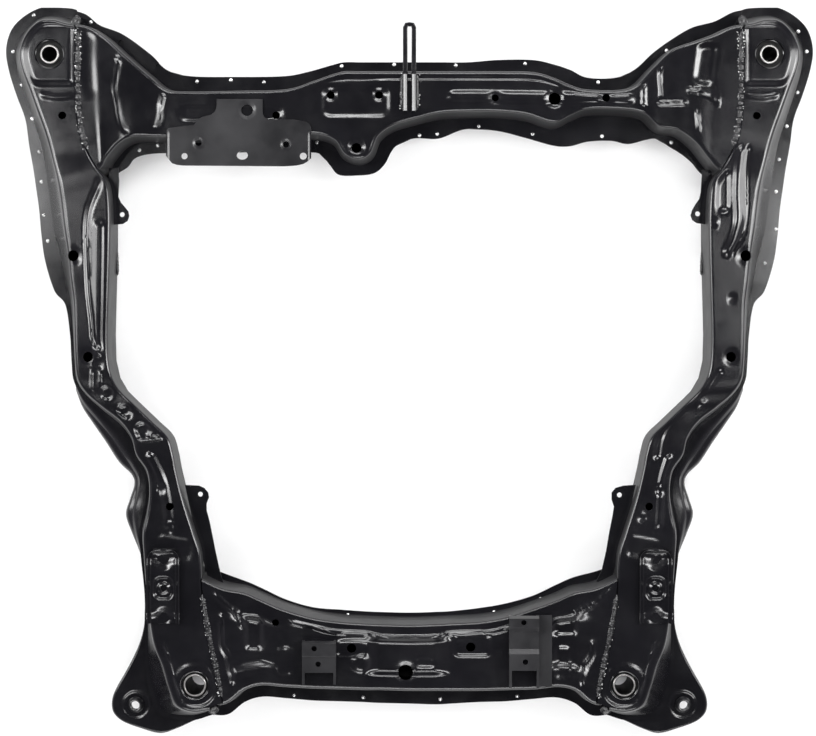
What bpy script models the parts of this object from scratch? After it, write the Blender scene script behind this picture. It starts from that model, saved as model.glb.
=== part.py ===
"""Front subframe of a car: a welded cradle of pressed-steel shells with four mounting bushes.

X runs across the car, +Y towards its front and +Z up. The origin is on the ground under the
middle of the cradle. Each member is a pressed upper shell and a lower pan, laid out by stations:
a station gives the crease of the top deck, the foot of the wall and the edge of the weld flange
on each side. Sizes are written in millimetres and turned into metres by MM.
"""
import math

import bmesh
import bpy
import numpy as np

MM = 0.001

# Sheet, joints and heights
SHEET = 2.4            # wall of the pressed shells
GAP = 0.3              # clearance between pieces that are welded or pressed together
LAP_CLEARANCE = 0.5    # between the pan's upstand and the shell wall it stands inside
FLANGE_Z = 45.0        # plane where the shells' weld flanges meet
DECK_FILLET = 6.0      # rounding between deck and wall
GROOVE_DEPTH = 3.0     # stiffening groove pressed along each side member's deck
GROOVE_FIRST = 12      # rail stations between which it runs
GROOVE_LAST = 20
GROOVE_SHARES = (0.36, 0.5, 0.64)  # its sides and middle, as shares of the deck's width
LAP_Z = 26.0           # where a wall without a flange ends
LAP_UPSTAND = 14.0     # how far the pan's upstand rises inside that wall
PAN_FIRST = 2          # rail stations between which the pan runs: it stops short of the rear bush
PAN_LAST = 33
PAN_TUCK = 4.0         # how far the pan's wall stands inside the shell's foot
PAN_FLANGE_INSET = 1.0

DECK_CORNER_Z = 98.0   # bush platform at the front corner
DECK_RAIL_Z = 100.0
DECK_NECK_Z = 96.0
DECK_PLATFORM_Z = 96.0  # bush platform at the rear corner
DECK_FRONT_Z = 86.0    # middle of the front crossmember
DECK_REAR_Z = 98.0     # rear crossmember
PAN_Z = 0.0            # underside of the rails' pans
CROSS_PAN_Z = 14.0     # underside of the crossmembers' pans

# Mounting bushes
FRONT_MOUNT_X = 459.0
FRONT_MOUNT_Y = 404.0
REAR_MOUNT_X = 274.0
REAR_MOUNT_Y = -401.0
FRONT_BUSH_R = 19.0
FRONT_SLEEVE_R = 12.0
FRONT_BORE_R = 9.5
REAR_BUSH_R = 18.5
REAR_SLEEVE_R = 14.3
REAR_BORE_R = 12.0
BUSH_WALL = 1.8
BUSH_FOOT_Z = 12.0     # underside of the bush's outer sleeve
SLEEVE_PROUD = 2.0     # inner sleeve above the deck
BUSH_PROUD = 0.8       # outer sleeve above the deck
RUBBER_DISH = 3.0      # rubber below the sleeve's rim
BOLT_ACCESS_R = 22.0   # hole in the pan under a front bush
SEGMENTS = 16
HOLE_SEGMENTS = 12
DRILL_REACH = 20.0     # how far a cutter passes a sheet on each side

# Half of the cradle, right side, from the front seam round the corner and back to the rear seam.
# Each row: deck crease, wall foot and flange edge of the outer side, then the inner crease.
RAIL = [
    ((428, 442), (431, 456), (432, 469), (423, 437), DECK_CORNER_Z),
    ((440, 444), (441, 458), (440, 471), (423, 434), DECK_CORNER_Z),
    ((455, 448), (456, 461), (458, 472), (423, 430), DECK_CORNER_Z),
    ((471, 447), (475, 460), (478, 472), (423, 425), DECK_CORNER_Z),
    ((484, 437), (492, 450), (500, 461), (423, 419), DECK_CORNER_Z),
    ((493, 422), (506, 433), (517, 443), (423, 411), DECK_CORNER_Z),
    ((497, 404), (511, 411), (524, 417), (423, 400), DECK_CORNER_Z),
    ((493, 383), (508, 387), (520, 389), (423, 384), DECK_CORNER_Z),
    ((484, 359), (500, 360), (510, 357), (423, 361), DECK_CORNER_Z),
    ((474, 331), (490, 330), (499, 327), (422, 337), DECK_CORNER_Z),
    ((464, 303), (480, 300), (494, 293), (419, 311), DECK_CORNER_Z),
    ((456, 275), (474, 272), (489, 265), (412, 284), DECK_CORNER_Z),
    ((448, 245), (470, 243), (485, 238), (399, 260), DECK_RAIL_Z),
    ((443, 215), (466, 213), (481, 209), (386, 240), DECK_RAIL_Z),
    ((439, 180), (461, 180), (478, 176), (382, 205), DECK_RAIL_Z),
    ((434, 143), (452, 145), (473, 142), (382, 165), DECK_RAIL_Z),
    ((431, 112), (446, 114), (461, 104), (383, 125), DECK_RAIL_Z),
    ((428, 85), (440, 87), (447, 86), (384, 88), DECK_RAIL_Z),
    ((427, 48), (437, 48), (441, 48), (385, 48), DECK_RAIL_Z),
    ((426, 14), (435, 13), (439, 13), (384, 14), DECK_RAIL_Z),
    ((423, -10), (432, -12), (436, -13), (379, -8), DECK_RAIL_Z),
    ((412, -28), (420, -31), (424, -33), (369, -25), DECK_RAIL_Z),
    ((392, -46), (398, -51), (402, -54), (351, -43), DECK_NECK_Z),
    ((369, -64), (375, -70), (379, -73), (328, -65), DECK_NECK_Z),
    ((355, -84), (361, -89), (365, -92), (309, -84), DECK_NECK_Z),
    ((349, -106), (355, -110), (359, -112), (302, -105), DECK_NECK_Z),
    ((335, -128), (342, -131), (346, -132), (298, -126), DECK_NECK_Z),
    ((332, -156), (338, -157), (342, -158), (291, -156), DECK_NECK_Z),
    ((335, -183), (342, -184), (346, -185), (283, -183), DECK_NECK_Z),
    ((340, -208), (347, -209), (351, -210), (275, -208), DECK_NECK_Z),
    ((339, -238), (345, -240), (349, -241), (267, -236), DECK_NECK_Z),
    ((335, -290), (340, -292), (344, -293), (264, -285), DECK_NECK_Z),
    ((327, -345), (340, -348), (344, -349), (257, -328), DECK_PLATFORM_Z),
    ((314, -378), (338, -386), (343, -388), (251, -358), DECK_PLATFORM_Z),
    ((306, -405), (333, -413), (338, -416), (245, -385), DECK_PLATFORM_Z),
    ((296, -427), (320, -441), (324, -446), (241, -405), DECK_PLATFORM_Z),
    ((276, -435), (284, -447), (286, -454), (239, -416), DECK_PLATFORM_Z),
    ((255, -433), (255, -440), (254, -446), (238, -424), DECK_PLATFORM_Z),
]

# Front crossmember, left to right. Each row: front crease, front edge, rear crease, rear edge and
# the deck's height. The end rows run into the side members, whose outline trims them.
FRONT_CROSS = [
    ((-442, 444), (-442, 470), (-412, 248), (-402, 238), DECK_CORNER_Z),
    ((-412, 440), (-420, 463), (-394, 260), (-378, 257), DECK_CORNER_Z),
    ((-390, 427), (-402, 449), (-387, 273), (-366, 265), DECK_CORNER_Z),
    ((-363, 403), (-372, 437), (-371, 292), (-357, 276), 94.0),
    ((-334, 378), (-336, 411), (-353, 301), (-343, 281), 89.0),
    ((-312, 361), (-315, 391), (-325, 301), (-322, 283), DECK_FRONT_Z),
    ((-285, 358), (-285, 383), (-285, 301), (-285, 283), DECK_FRONT_Z),
    ((-222, 359), (-222, 382), (-222, 303), (-222, 284), DECK_FRONT_Z),
    ((-158, 361), (-162, 383), (-158, 305), (-160, 284), DECK_FRONT_Z),
    ((-122, 372), (-130, 389), (-116, 304), (-119, 283), DECK_FRONT_Z),
    ((-99, 380), (-102, 397), (-95, 296), (-104, 268), DECK_FRONT_Z),
    ((-83, 384), (-85, 401), (-83, 279), (-92, 255), DECK_FRONT_Z),
    ((-66, 384), (-66, 401), (-66, 272), (-68, 254), DECK_FRONT_Z),
    ((-50, 384), (-50, 401), (-51, 279), (-46, 257), DECK_FRONT_Z),
    ((-36, 384), (-36, 401), (-41, 301), (-32, 269), DECK_FRONT_Z),
    ((-18, 384), (-18, 401), (-22, 315), (-19, 291), DECK_FRONT_Z),
    ((8, 384), (8, 401), (8, 324), (5, 302), DECK_FRONT_Z),
    ((40, 384), (40, 401), (38, 331), (38, 302), DECK_FRONT_Z),
    ((76, 384), (76, 401), (72, 333), (72, 314), DECK_FRONT_Z),
    ((115, 384), (115, 404), (112, 333), (113, 312), DECK_FRONT_Z),
    ((158, 383), (160, 404), (150, 329), (150, 303), DECK_FRONT_Z),
    ((184, 376), (188, 398), (184, 319), (186, 293), DECK_FRONT_Z),
    ((205, 367), (209, 391), (206, 328), (208, 292), DECK_FRONT_Z),
    ((226, 361), (231, 381), (228, 336), (232, 298), DECK_FRONT_Z),
    ((268, 360), (268, 381), (268, 336), (262, 299), DECK_FRONT_Z),
    ((291, 367), (293, 392), (300, 331), (285, 295), DECK_FRONT_Z),
    ((312, 388), (316, 413), (320, 314), (318, 302), 89.0),
    ((337, 411), (341, 431), (345, 308), (338, 291), 94.0),
    ((364, 421), (367, 446), (365, 293), (354, 281), DECK_CORNER_Z),
    ((389, 430), (396, 454), (382, 272), (367, 270), DECK_CORNER_Z),
    ((412, 440), (420, 466), (394, 258), (378, 257), DECK_CORNER_Z),
    ((442, 444), (442, 470), (412, 248), (402, 238), DECK_CORNER_Z),
]

# Rear crossmember, left to right, in the same way. The last value is the depth of the pressed
# trough in the middle of the deck.
REAR_CROSS = [
    ((-272, -262), (-276, -248), (-258, -428), (-262, -446), 0.0),
    ((-240, -277), (-243, -262), (-233, -424), (-236, -446), 0.0),
    ((-211, -283), (-208, -275), (-212, -408), (-214, -430), 5.0),
    ((-190, -292), (-188, -284), (-190, -401), (-191, -423), 6.0),
    ((-162, -304), (-160, -297), (-160, -403), (-160, -425), 0.0),
    ((-124, -315), (-125, -307), (-124, -405), (-124, -428), 0.0),
    ((-90, -320), (-90, -310), (-90, -406), (-90, -429), 0.0),
    ((-62, -322), (-62, -312), (-56, -407), (-60, -430), 1.0),
    ((-42, -323), (-42, -313), (-38, -407), (-42, -431), 8.0),
    ((0, -324), (0, -314), (0, -408), (0, -432), 8.0),
    ((34, -323), (34, -313), (30, -408), (34, -433), 8.0),
    ((54, -322), (54, -312), (50, -408), (54, -432), 1.0),
    ((90, -320), (90, -308), (90, -408), (90, -430), 0.0),
    ((125, -314), (125, -302), (125, -407), (125, -429), 0.0),
    ((160, -303), (160, -292), (160, -406), (160, -426), 0.0),
    ((190, -292), (190, -278), (190, -403), (190, -424), 6.0),
    ((211, -283), (213, -268), (212, -408), (214, -431), 5.0),
    ((240, -277), (243, -260), (233, -424), (236, -447), 0.0),
    ((272, -262), (276, -248), (258, -428), (262, -446), 0.0),
]

TROUGH_SHARES = (0.22, 0.32, 0.68, 0.78)  # where the trough's sides start and end
WALL_DRAFT = 5.0       # a crossmember's wall foot outside its crease

# Skirt outside the neck of each side member: first and last rail station, outline and heights
SKIRT_FROM = 20
SKIRT = [
    (436, -26), (428, -47), (415, -67), (397, -93), (380, -119), (364, -135), (360, -148),
    (366, -168), (371, -188), (363, -212), (351, -241),
]
SKIRT_TOP_Z = FLANGE_Z - SHEET - 2 * GAP
SKIRT_MID_Z = 26.0
SKIRT_FOOT_Z = 8.0
SKIRT_SHOULDER = 0.8   # where its slope starts to steepen, as a share of the way out
SKIRT_SHOULDER_RISE = 6.0
SKIRT_RETURN = 0.1     # how far its foot turns back in

# Triangular plate under each rear corner
CORNER_FROM = 31
CORNER_OUTLINE = [
    (345, -312), (346, -332), (351, -352), (359, -371), (370, -392), (381, -411), (387, -425),
    (388, -438), (384, -448), (373, -457), (352, -465), (325, -472), (304, -466), (284, -457),
    (268, -450),
]
CORNER_TOP_Z = FLANGE_Z - SHEET - 2 * GAP
CORNER_SHEET = 3.5
CORNER_LIP = 12.0
CORNER_BOSS_X = 356.0
CORNER_BOSS_Y = -434.0
CORNER_HOLE_R = 6.0

# Holes through the decks: x, y, radius
FRONT_DECK_HOLES = [
    (-171, 328, 5.0), (-101, 354, 5.0), (-39, 354, 5.0), (-68, 286, 6.5),
    (110, 350, 4.5), (186, 349, 8.0), (252, 350, 5.0),
]
REAR_DECK_HOLES = [(-74, -354, 6.0), (78, -352, 6.0), (-5, -385, 9.5), (-171, -321, 4.5)]
RAIL_HOLES = [(443, 326, 5.0), (429, 147, 7.0), (410, 18, 6.5), (306, -173, 5.0)]

# Roll mount plate on the front crossmember's left half
PLATE_SHEET = 3.0
PLATE_OUTLINE = [
    (-247, 348), (-247, 337), (-254, 328), (-268, 324), (-276, 315), (-309, 311), (-312, 306),
    (-312, 276), (-304, 266), (-290, 263), (-160, 262), (-136, 265), (-126, 273), (-126, 312),
    (-132, 319), (-148, 322), (-180, 322), (-188, 327), (-188, 348),
]
PLATE_HOLES = [
    (-208, 334, 7.5), (-270, 292, 4.0), (-158, 290, 4.0), (-288, 275, 4.0), (-136, 275, 4.5),
    (-214, 276, 6.5),
]
PLATE_LIP = 12.0
PLATE_LIP_FROM = 274.0
PLATE_LIP_TO = 296.0

# Lifting hook
HOOK_ROD = 6.0
HOOK_HALF_WIDTH = 5.5
HOOK_FOOT_Y = 333.0
HOOK_BEND_Y = 380.0
HOOK_REACH_Y = 437.0
HOOK_RISE = 41.0
HOOK_LEG = [(0.0, 0.0), (0.21, 0.07), (0.42, 0.3), (0.75, 0.78), (0.93, 0.95)]  # of reach and rise
HOOK_BEND_SHARE = 0.7  # width of the loop just before its top

# Stabiliser bracket on each rear corner
STAB_X = 314.0
STAB_Y = -277.0
STAB_WIDTH = 42.0
STAB_LENGTH = 90.0
STAB_SHEET = 3.0
STAB_LIP = 7.0
STAB_HOLE_R = 5.0
STAB_HOLE_EDGE = 9.5   # from an end hole's centre to the bracket's end
STAB_TAPER = 0.08      # share of the length over which each side runs out at the ends
STAB_END_LIP = 0.35    # height of the sides there, as a share of the full height
STAB_END_DRAW = 4.0    # how far the ends are drawn in

# Steering-rack brackets: bridges standing on the rear crossmember, open at the back. Each place
# along them has how far the top lies below the seat, as a share of its rise.
RACK_SHEET = 3.0
RACK_RISE = 13.0
RACK_HOLE_R = 3.5
RACK_LEFT = {
    "x": -115.0, "width": 43.0, "flange": 0.0, "open_from": -383.0,
    "top": [(-343, 0.55), (-346, 0.0), (-361, 0.0), (-363, 0.2), (-398, 0.2)],
    "holes": [(-121, -352), (-116, -372)],
}
RACK_RIGHT = {
    "x": 145.5, "width": 38.0, "flange": 17.0, "open_from": -380.0,
    "top": [(-311, 0.55), (-314, 0.0), (-325, 0.0), (-331, 0.4), (-353, 0.4), (-359, 0.0),
            (-402, 0.0)],
    "holes": [(145, -319), (147, -369)],
}

# Hose tabs inside the frame: centre of the ear's hole, its height and the rail side it stands on
TAB_SHEET = 2.5
TAB_R = 8.5
TAB_HOLE_R = 3.2
TAB_ROOT = 15.0        # half of the ear's length where it meets the wall
TAB_Z = 62.0
FRONT_TAB_Y = 203.0
FRONT_TAB_REACH = 12.0
REAR_TAB_Y = -158.0
REAR_TAB_REACH = 17.0

NUT_R = 8.5
NUT_HEIGHT = 7.0


def clear_scene():
    """Remove every object that the scene starts with."""
    for old in list(bpy.data.objects):
        bpy.data.objects.remove(old, do_unlink=True)


def material(name, colour, roughness, metallic):
    """A Principled material of one plain colour."""
    made = bpy.data.materials.new(name)
    made.use_nodes = True
    shader = made.node_tree.nodes["Principled BSDF"]
    shader.inputs["Base Color"].default_value = (*colour, 1.0)
    shader.inputs["Roughness"].default_value = roughness
    shader.inputs["Metallic"].default_value = metallic
    return made


def object_from(name, points, faces, finish):
    """An object from points in millimetres and faces, with its faces turned outwards."""
    mesh = bpy.data.meshes.new(name)
    mesh.from_pydata([tuple(c * MM for c in p) for p in points], [], faces)
    body = bmesh.new()
    body.from_mesh(mesh)
    bmesh.ops.recalc_face_normals(body, faces=body.faces)
    body.to_mesh(mesh)
    body.free()
    made = bpy.data.objects.new(name, mesh)
    made.data.materials.append(finish)
    bpy.context.scene.collection.objects.link(made)
    return made


def soften(thing, angle=35.0):
    """Smooth shading, sharp where faces meet at more than an angle in degrees."""
    thing.data.shade_smooth()
    thing.data.set_sharp_from_angle(angle=math.radians(angle))


def prism(name, outline, low, high, finish):
    """A closed prism: an outline in plan between two heights."""
    count = len(outline)
    points = [(x, y, low) for x, y in outline] + [(x, y, high) for x, y in outline]
    faces = [tuple(range(count)), tuple(range(2 * count - 1, count - 1, -1))]
    faces += [(i, (i + 1) % count, count + (i + 1) % count, count + i) for i in range(count)]
    return object_from(name, points, faces, finish)


def circle(x, y, radius, segments=SEGMENTS):
    """Points round a circle in plan."""
    turns = [2 * math.pi * i / segments for i in range(segments)]
    return [(x + radius * math.cos(t), y + radius * math.sin(t)) for t in turns]


def ring(name, x, y, inner, outer, low, high, finish):
    """A round sleeve: the rectangle between two radii and two heights, turned about Z."""
    section = [(inner, low), (outer, low), (outer, high), (inner, high)]
    return turned(name, x, y, section, finish)


def turned(name, x, y, section, finish):
    """A closed section of (radius, height) points turned about a vertical axis."""
    count = len(section)
    points = []
    faces = []
    for i in range(SEGMENTS):
        turn = 2 * math.pi * i / SEGMENTS
        points += [(x + r * math.cos(turn), y + r * math.sin(turn), z) for r, z in section]
        here = i * count
        there = ((i + 1) % SEGMENTS) * count
        for k in range(count):
            nxt = (k + 1) % count
            faces.append((here + k, here + nxt, there + nxt, there + k))
    made = object_from(name, points, faces, finish)
    soften(made)
    return made


def cut(thing, cutter):
    """Take a hidden cutter out of a thing with an exact Boolean."""
    cutter.hide_render = True
    cutter.display_type = "WIRE"
    hole = thing.modifiers.new(cutter.name, "BOOLEAN")
    hole.operation = "DIFFERENCE"
    hole.solver = "EXACT"
    hole.object = cutter


def cylinder_cut(thing, x, y, radius, face_z, finish, reach=DRILL_REACH, segments=HOLE_SEGMENTS):
    """Drill a round vertical hole through the sheet whose face is at a height."""
    name = f"{thing.name}.hole.{len(thing.modifiers)}"
    outline = circle(x, y, radius, segments)
    cut(thing, prism(name, outline, face_z - reach, face_z + reach, finish))


def unit(vectors):
    """Vectors of length one along the last axis."""
    return vectors / np.linalg.norm(vectors, axis=-1, keepdims=True)


def sheet_from(name, rows, finish, faces_up=True, thickness=SHEET):
    """A pressed sheet: rows of points on its outer face, with an inner face one wall behind.

    Each point of the inner face lies where the two neighbouring strips, both moved in by the wall,
    meet, so a fold keeps its wall on both sides.
    """
    outer = np.array(rows, dtype=float)
    along = np.gradient(outer, axis=0)
    across = np.diff(outer, axis=1)
    normal = unit(np.cross((along[:, 1:] + along[:, :-1]) / 2, across))
    if (normal[..., 2].sum() > 0) != faces_up:
        normal = -normal
    before = np.concatenate([normal[:, :1], normal], axis=1)
    after = np.concatenate([normal, normal[:, -1:]], axis=1)
    fold = np.maximum(1.0 + np.sum(before * after, axis=2, keepdims=True), 0.4)
    inner = outer - thickness * (before + after) / fold
    count, columns = outer.shape[:2]
    points = np.concatenate([outer.reshape(-1, 3), inner.reshape(-1, 3)])
    index = np.arange(count * columns).reshape(count, columns)
    back = index + count * columns
    faces = []
    for grid, flip in ((index, False), (back, True)):
        quads = np.stack([grid[:-1, :-1], grid[:-1, 1:], grid[1:, 1:], grid[1:, :-1]], axis=-1)
        quads = quads.reshape(-1, 4)
        faces += (quads[:, ::-1] if flip else quads).tolist()
    rim = np.concatenate([index[0], index[1:, -1], index[-1, -2::-1], index[-2:0:-1, 0]])
    rim_back = rim + count * columns
    following = np.roll(rim, -1)
    faces += np.stack([following, rim, rim_back, np.roll(rim_back, -1)], axis=-1).tolist()
    made = object_from(name, points.tolist(), faces, finish)
    soften(made)
    return made


def line_normals(points, inside):
    """Unit normals of an open line in plan, each turned towards its point of the inside line."""
    line = np.array(points, dtype=float)
    along = np.gradient(line, axis=0)
    normal = np.stack([-along[:, 1], along[:, 0]], axis=1)
    normal /= np.linalg.norm(normal, axis=1, keepdims=True)
    facing = np.sum(normal * (np.array(inside, dtype=float) - line), axis=1)
    return normal * np.where(facing < 0, -1.0, 1.0)[:, None]


def moved(point, direction, distance):
    """A point in plan moved along a direction."""
    return (point[0] + direction[0] * distance, point[1] + direction[1] * distance)


def fillet_points(crease, foot, foot_z, inward, deck_z, radius):
    """The rounding from a wall up to the deck: on the wall, half way round and on the deck."""
    share = radius / (deck_z - foot_z)
    low = tuple(c + (f - c) * share for c, f in zip(crease, foot))
    half = 1 - math.sqrt(0.5)
    middle = moved(crease, inward, radius * half)
    top = moved(crease, inward, radius)
    return [(*low, deck_z - radius), (*middle, deck_z - radius * half), (*top, deck_z)]


def rail_lines(side):
    """The rail table for one side of the car: creases, feet, edges, inner creases and decks."""
    def mirrored(index):
        return [(side * row[index][0], row[index][1]) for row in RAIL]
    return mirrored(0), mirrored(1), mirrored(2), mirrored(3), [row[4] for row in RAIL]


def rail_upper(side, name, finish):
    """Upper shell of a side member: flange, sloping outer wall, deck and upright inner wall."""
    crease, foot, edge, inner, deck = rail_lines(side)
    flange_z = FLANGE_Z + GAP / 2 + SHEET
    into_a = line_normals(crease, inner)
    into_b = line_normals(inner, crease)
    rows = []
    for i, deck_z in enumerate(deck):
        width = math.dist(crease[i], inner[i])
        radius = min(DECK_FILLET, 0.3 * width)
        outer_round = fillet_points(crease[i], foot[i], flange_z, into_a[i], deck_z, radius)
        inner_round = fillet_points(inner[i], inner[i], LAP_Z, into_b[i], deck_z, radius)
        groove = []
        for share in GROOVE_SHARES:
            depth = GROOVE_DEPTH if share == 0.5 and GROOVE_FIRST <= i <= GROOVE_LAST else 0.0
            spot = [a + (b - a) * share for a, b in zip(outer_round[2], inner_round[2])]
            groove.append((spot[0], spot[1], spot[2] - depth))
        rows.append([(*edge[i], flange_z), (*foot[i], flange_z), *outer_round, *groove,
                     *reversed(inner_round), (*inner[i], LAP_Z)])
    return sheet_from(name, rows, finish)


def rail_lower(side, name, finish):
    """Pan of a side member: flange under the shell's, flat bottom, upstand inside its inner wall."""
    crease, foot, edge, inner, _ = rail_lines(side)
    flange_z = FLANGE_Z - GAP / 2 - SHEET
    into_a = line_normals(foot, inner)
    into_b = line_normals(inner, crease)
    lap = SHEET + LAP_CLEARANCE
    rows = []
    for i in range(PAN_FIRST, PAN_LAST + 1):
        rim = moved(edge[i], into_a[i], PAN_FLANGE_INSET)
        wall = moved(foot[i], into_a[i], PAN_TUCK)
        turn = moved(foot[i], into_a[i], PAN_TUCK + DECK_FILLET / 2)
        bottom = moved(foot[i], into_a[i], PAN_TUCK + 2 * DECK_FILLET)
        upstand = moved(inner[i], into_b[i], lap)
        rows.append([(*rim, flange_z), (*wall, flange_z), (*turn, PAN_Z + DECK_FILLET),
                     (*bottom, PAN_Z), (*upstand, PAN_Z), (*upstand, LAP_Z + LAP_UPSTAND)])
    return sheet_from(name, rows, finish, faces_up=False)


def rail_skirt(side, name, finish):
    """Reinforcement outside a side member's neck: it hangs under the flange and bulges out."""
    crease, foot, edge, inner, deck = rail_lines(side)
    rows = []
    for k, (x, y) in enumerate(SKIRT):
        i = SKIRT_FROM + k
        out = (side * x, y)
        under = tuple((f + e) / 2 for f, e in zip(foot[i], edge[i]))
        shoulder = tuple(u + (o - u) * SKIRT_SHOULDER for u, o in zip(under, out))
        low = tuple(o + (u - o) * SKIRT_RETURN for u, o in zip(under, out))
        rows.append([(*under, SKIRT_TOP_Z), (*shoulder, SKIRT_MID_Z + SKIRT_SHOULDER_RISE),
                     (*out, SKIRT_MID_Z), (*low, SKIRT_FOOT_Z)])
    return sheet_from(name, rows, finish)


def outline_of_rail(side):
    """The plan outline of a side member's upper shell, widened by the welding gap."""
    crease, foot, edge, inner, deck = rail_lines(side)
    out = line_normals(edge, inner)
    into = line_normals(inner, crease)
    outer_line = [moved(p, n, -GAP) for p, n in zip(edge, out)]
    inner_line = [moved(p, n, -GAP) for p, n in zip(inner, into)]
    first, last = [[(line[end][0] - side * GAP, line[end][1]) for line in (edge, foot, crease, inner)]
                   for end in (0, -1)]
    return outer_line + last + inner_line[-2:0:-1] + first[::-1]


def cross_rows(table, upper, pan_z):
    """Rows of a crossmember's shell or pan from its table of creases and edges."""
    front = [row[0] for row in table]
    front_edge = [row[1] for row in table]
    back = [row[2] for row in table]
    back_edge = [row[3] for row in table]
    into_front = line_normals(front, back)
    into_back = line_normals(back, front)
    has_trough = any(row[5] for row in table)
    rows = []
    for i, row in enumerate(table):
        front_foot = moved(front[i], into_front[i], -WALL_DRAFT)
        back_foot = moved(back[i], into_back[i], -WALL_DRAFT)
        if upper:
            flange_z = FLANGE_Z + GAP / 2 + SHEET
            deck_z, trough = row[4], row[5]
            first = fillet_points(front[i], front_foot, flange_z, into_front[i], deck_z, DECK_FILLET)
            last = fillet_points(back[i], back_foot, flange_z, into_back[i], deck_z, DECK_FILLET)
            between = []
            for share in TROUGH_SHARES if has_trough else (0.5,):
                depth = trough if abs(share - 0.5) < 0.2 else 0.0
                spot = [a + (b - a) * share for a, b in zip(first[2][:2], last[2][:2])]
                between.append((*spot, deck_z - depth))
            rows.append([(*front_edge[i], flange_z), (*front_foot, flange_z), *first, *between,
                         *reversed(last), (*back_foot, flange_z), (*back_edge[i], flange_z)])
        else:
            flange_z = FLANGE_Z - GAP / 2 - SHEET
            rim_a = moved(front_edge[i], into_front[i], PAN_FLANGE_INSET)
            rim_b = moved(back_edge[i], into_back[i], PAN_FLANGE_INSET)
            turn_a = moved(front_foot, into_front[i], PAN_TUCK)
            turn_b = moved(back_foot, into_back[i], PAN_TUCK)
            low_a = moved(turn_a, into_front[i], DECK_FILLET)
            low_b = moved(turn_b, into_back[i], DECK_FILLET)
            rows.append([(*rim_a, flange_z), (*turn_a, flange_z), (*low_a, pan_z),
                         (*low_b, pan_z), (*turn_b, flange_z), (*rim_b, flange_z)])
    return rows


def crossmember(name, table, finish, upper, pan_z=CROSS_PAN_Z):
    """A crossmember's shell or pan, trimmed where it butts on the side members."""
    made = sheet_from(name, cross_rows(table, upper, pan_z), finish, faces_up=upper)
    for side, word in ((-1, "left"), (1, "right")):
        trim = prism(f"{name}.trim_{word}", outline_of_rail(side), PAN_Z - DRILL_REACH,
                     DECK_RAIL_Z + DRILL_REACH, finish)
        cut(made, trim)
    return made


def bush(place, x, y, radius, sleeve, bore, deck_z, finishes):
    """A mounting bush: painted outer sleeve, rubber with dished ends and bare inner sleeve."""
    paint, rubber, steel = finishes
    top = deck_z + BUSH_PROUD
    ring(f"bush_{place}_outer_sleeve", x, y, radius - BUSH_WALL, radius, BUSH_FOOT_Z, top, paint)
    inner = sleeve + GAP
    outer = radius - BUSH_WALL - GAP
    middle = (inner + outer) / 2
    high = top - RUBBER_DISH / 2
    low = BUSH_FOOT_Z + RUBBER_DISH / 2
    section = [(inner, low), (middle, low + RUBBER_DISH), (outer, low), (outer, high),
               (middle, high - RUBBER_DISH), (inner, high)]
    turned(f"bush_{place}_rubber", x, y, section, rubber)
    ring(f"bush_{place}_inner_sleeve", x, y, bore, sleeve, BUSH_FOOT_Z - SLEEVE_PROUD,
         deck_z + SLEEVE_PROUD, steel)


def corner_plate(side, name, finish):
    """Triangular plate under a rear corner, tucked under the flange, with a turned-down rim."""
    crease, foot, edge, inner, deck = rail_lines(side)
    into = line_normals(foot, inner)
    roots = [moved(p, n, -GAP) for p, n in zip(foot, into)][CORNER_FROM:]
    rows = []
    for k, (x, y) in enumerate(CORNER_OUTLINE):
        place = k * (len(roots) - 1) / (len(CORNER_OUTLINE) - 1)
        before = min(int(place), len(roots) - 2)
        share = place - before
        root = tuple(a + (b - a) * share for a, b in zip(roots[before], roots[before + 1]))
        rim = (side * x, y)
        rows.append([(*root, CORNER_TOP_Z), (*rim, CORNER_TOP_Z), (*rim, CORNER_TOP_Z - CORNER_LIP)])
    return sheet_from(name, rows, finish, thickness=CORNER_SHEET)


def rack_bracket(name, place, finish):
    """A steering-rack bracket: a folded bridge with two cheeks, its top cut away at the back."""
    foot_z = DECK_REAR_Z + GAP
    seat_z = foot_z + RACK_SHEET + RACK_RISE
    left = place["x"] - place["width"] / 2
    right = place["x"] + place["width"] / 2
    rows = []
    for y, drop in place["top"]:
        high = seat_z - drop * RACK_RISE
        row = [(left, y, foot_z), (left, y, high), (right, y, high)]
        if place["flange"]:
            row += [(right, y, foot_z + RACK_SHEET), (right + place["flange"], y, foot_z + RACK_SHEET)]
        else:
            row.append((right, y, foot_z))
        rows.append(row)
    made = sheet_from(name, rows, finish, thickness=RACK_SHEET)
    near, far = place["open_from"], place["top"][-1][0] - DRILL_REACH
    cheek = RACK_SHEET + GAP
    window = [(left + cheek, near), (right - cheek, near), (right - cheek, far), (left + cheek, far)]
    cut(made, prism(f"{name}.window", window, foot_z + RACK_RISE / 2, seat_z + DRILL_REACH, finish))
    for x, y in place["holes"]:
        cylinder_cut(made, x, y, RACK_HOLE_R, seat_z, finish, reach=2 * RACK_SHEET)
    return made


def nut(name, x, y, low, bore, finish):
    """A round weld nut standing on a face."""
    return ring(name, x, y, bore, NUT_R, low, low + NUT_HEIGHT, finish)


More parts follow.
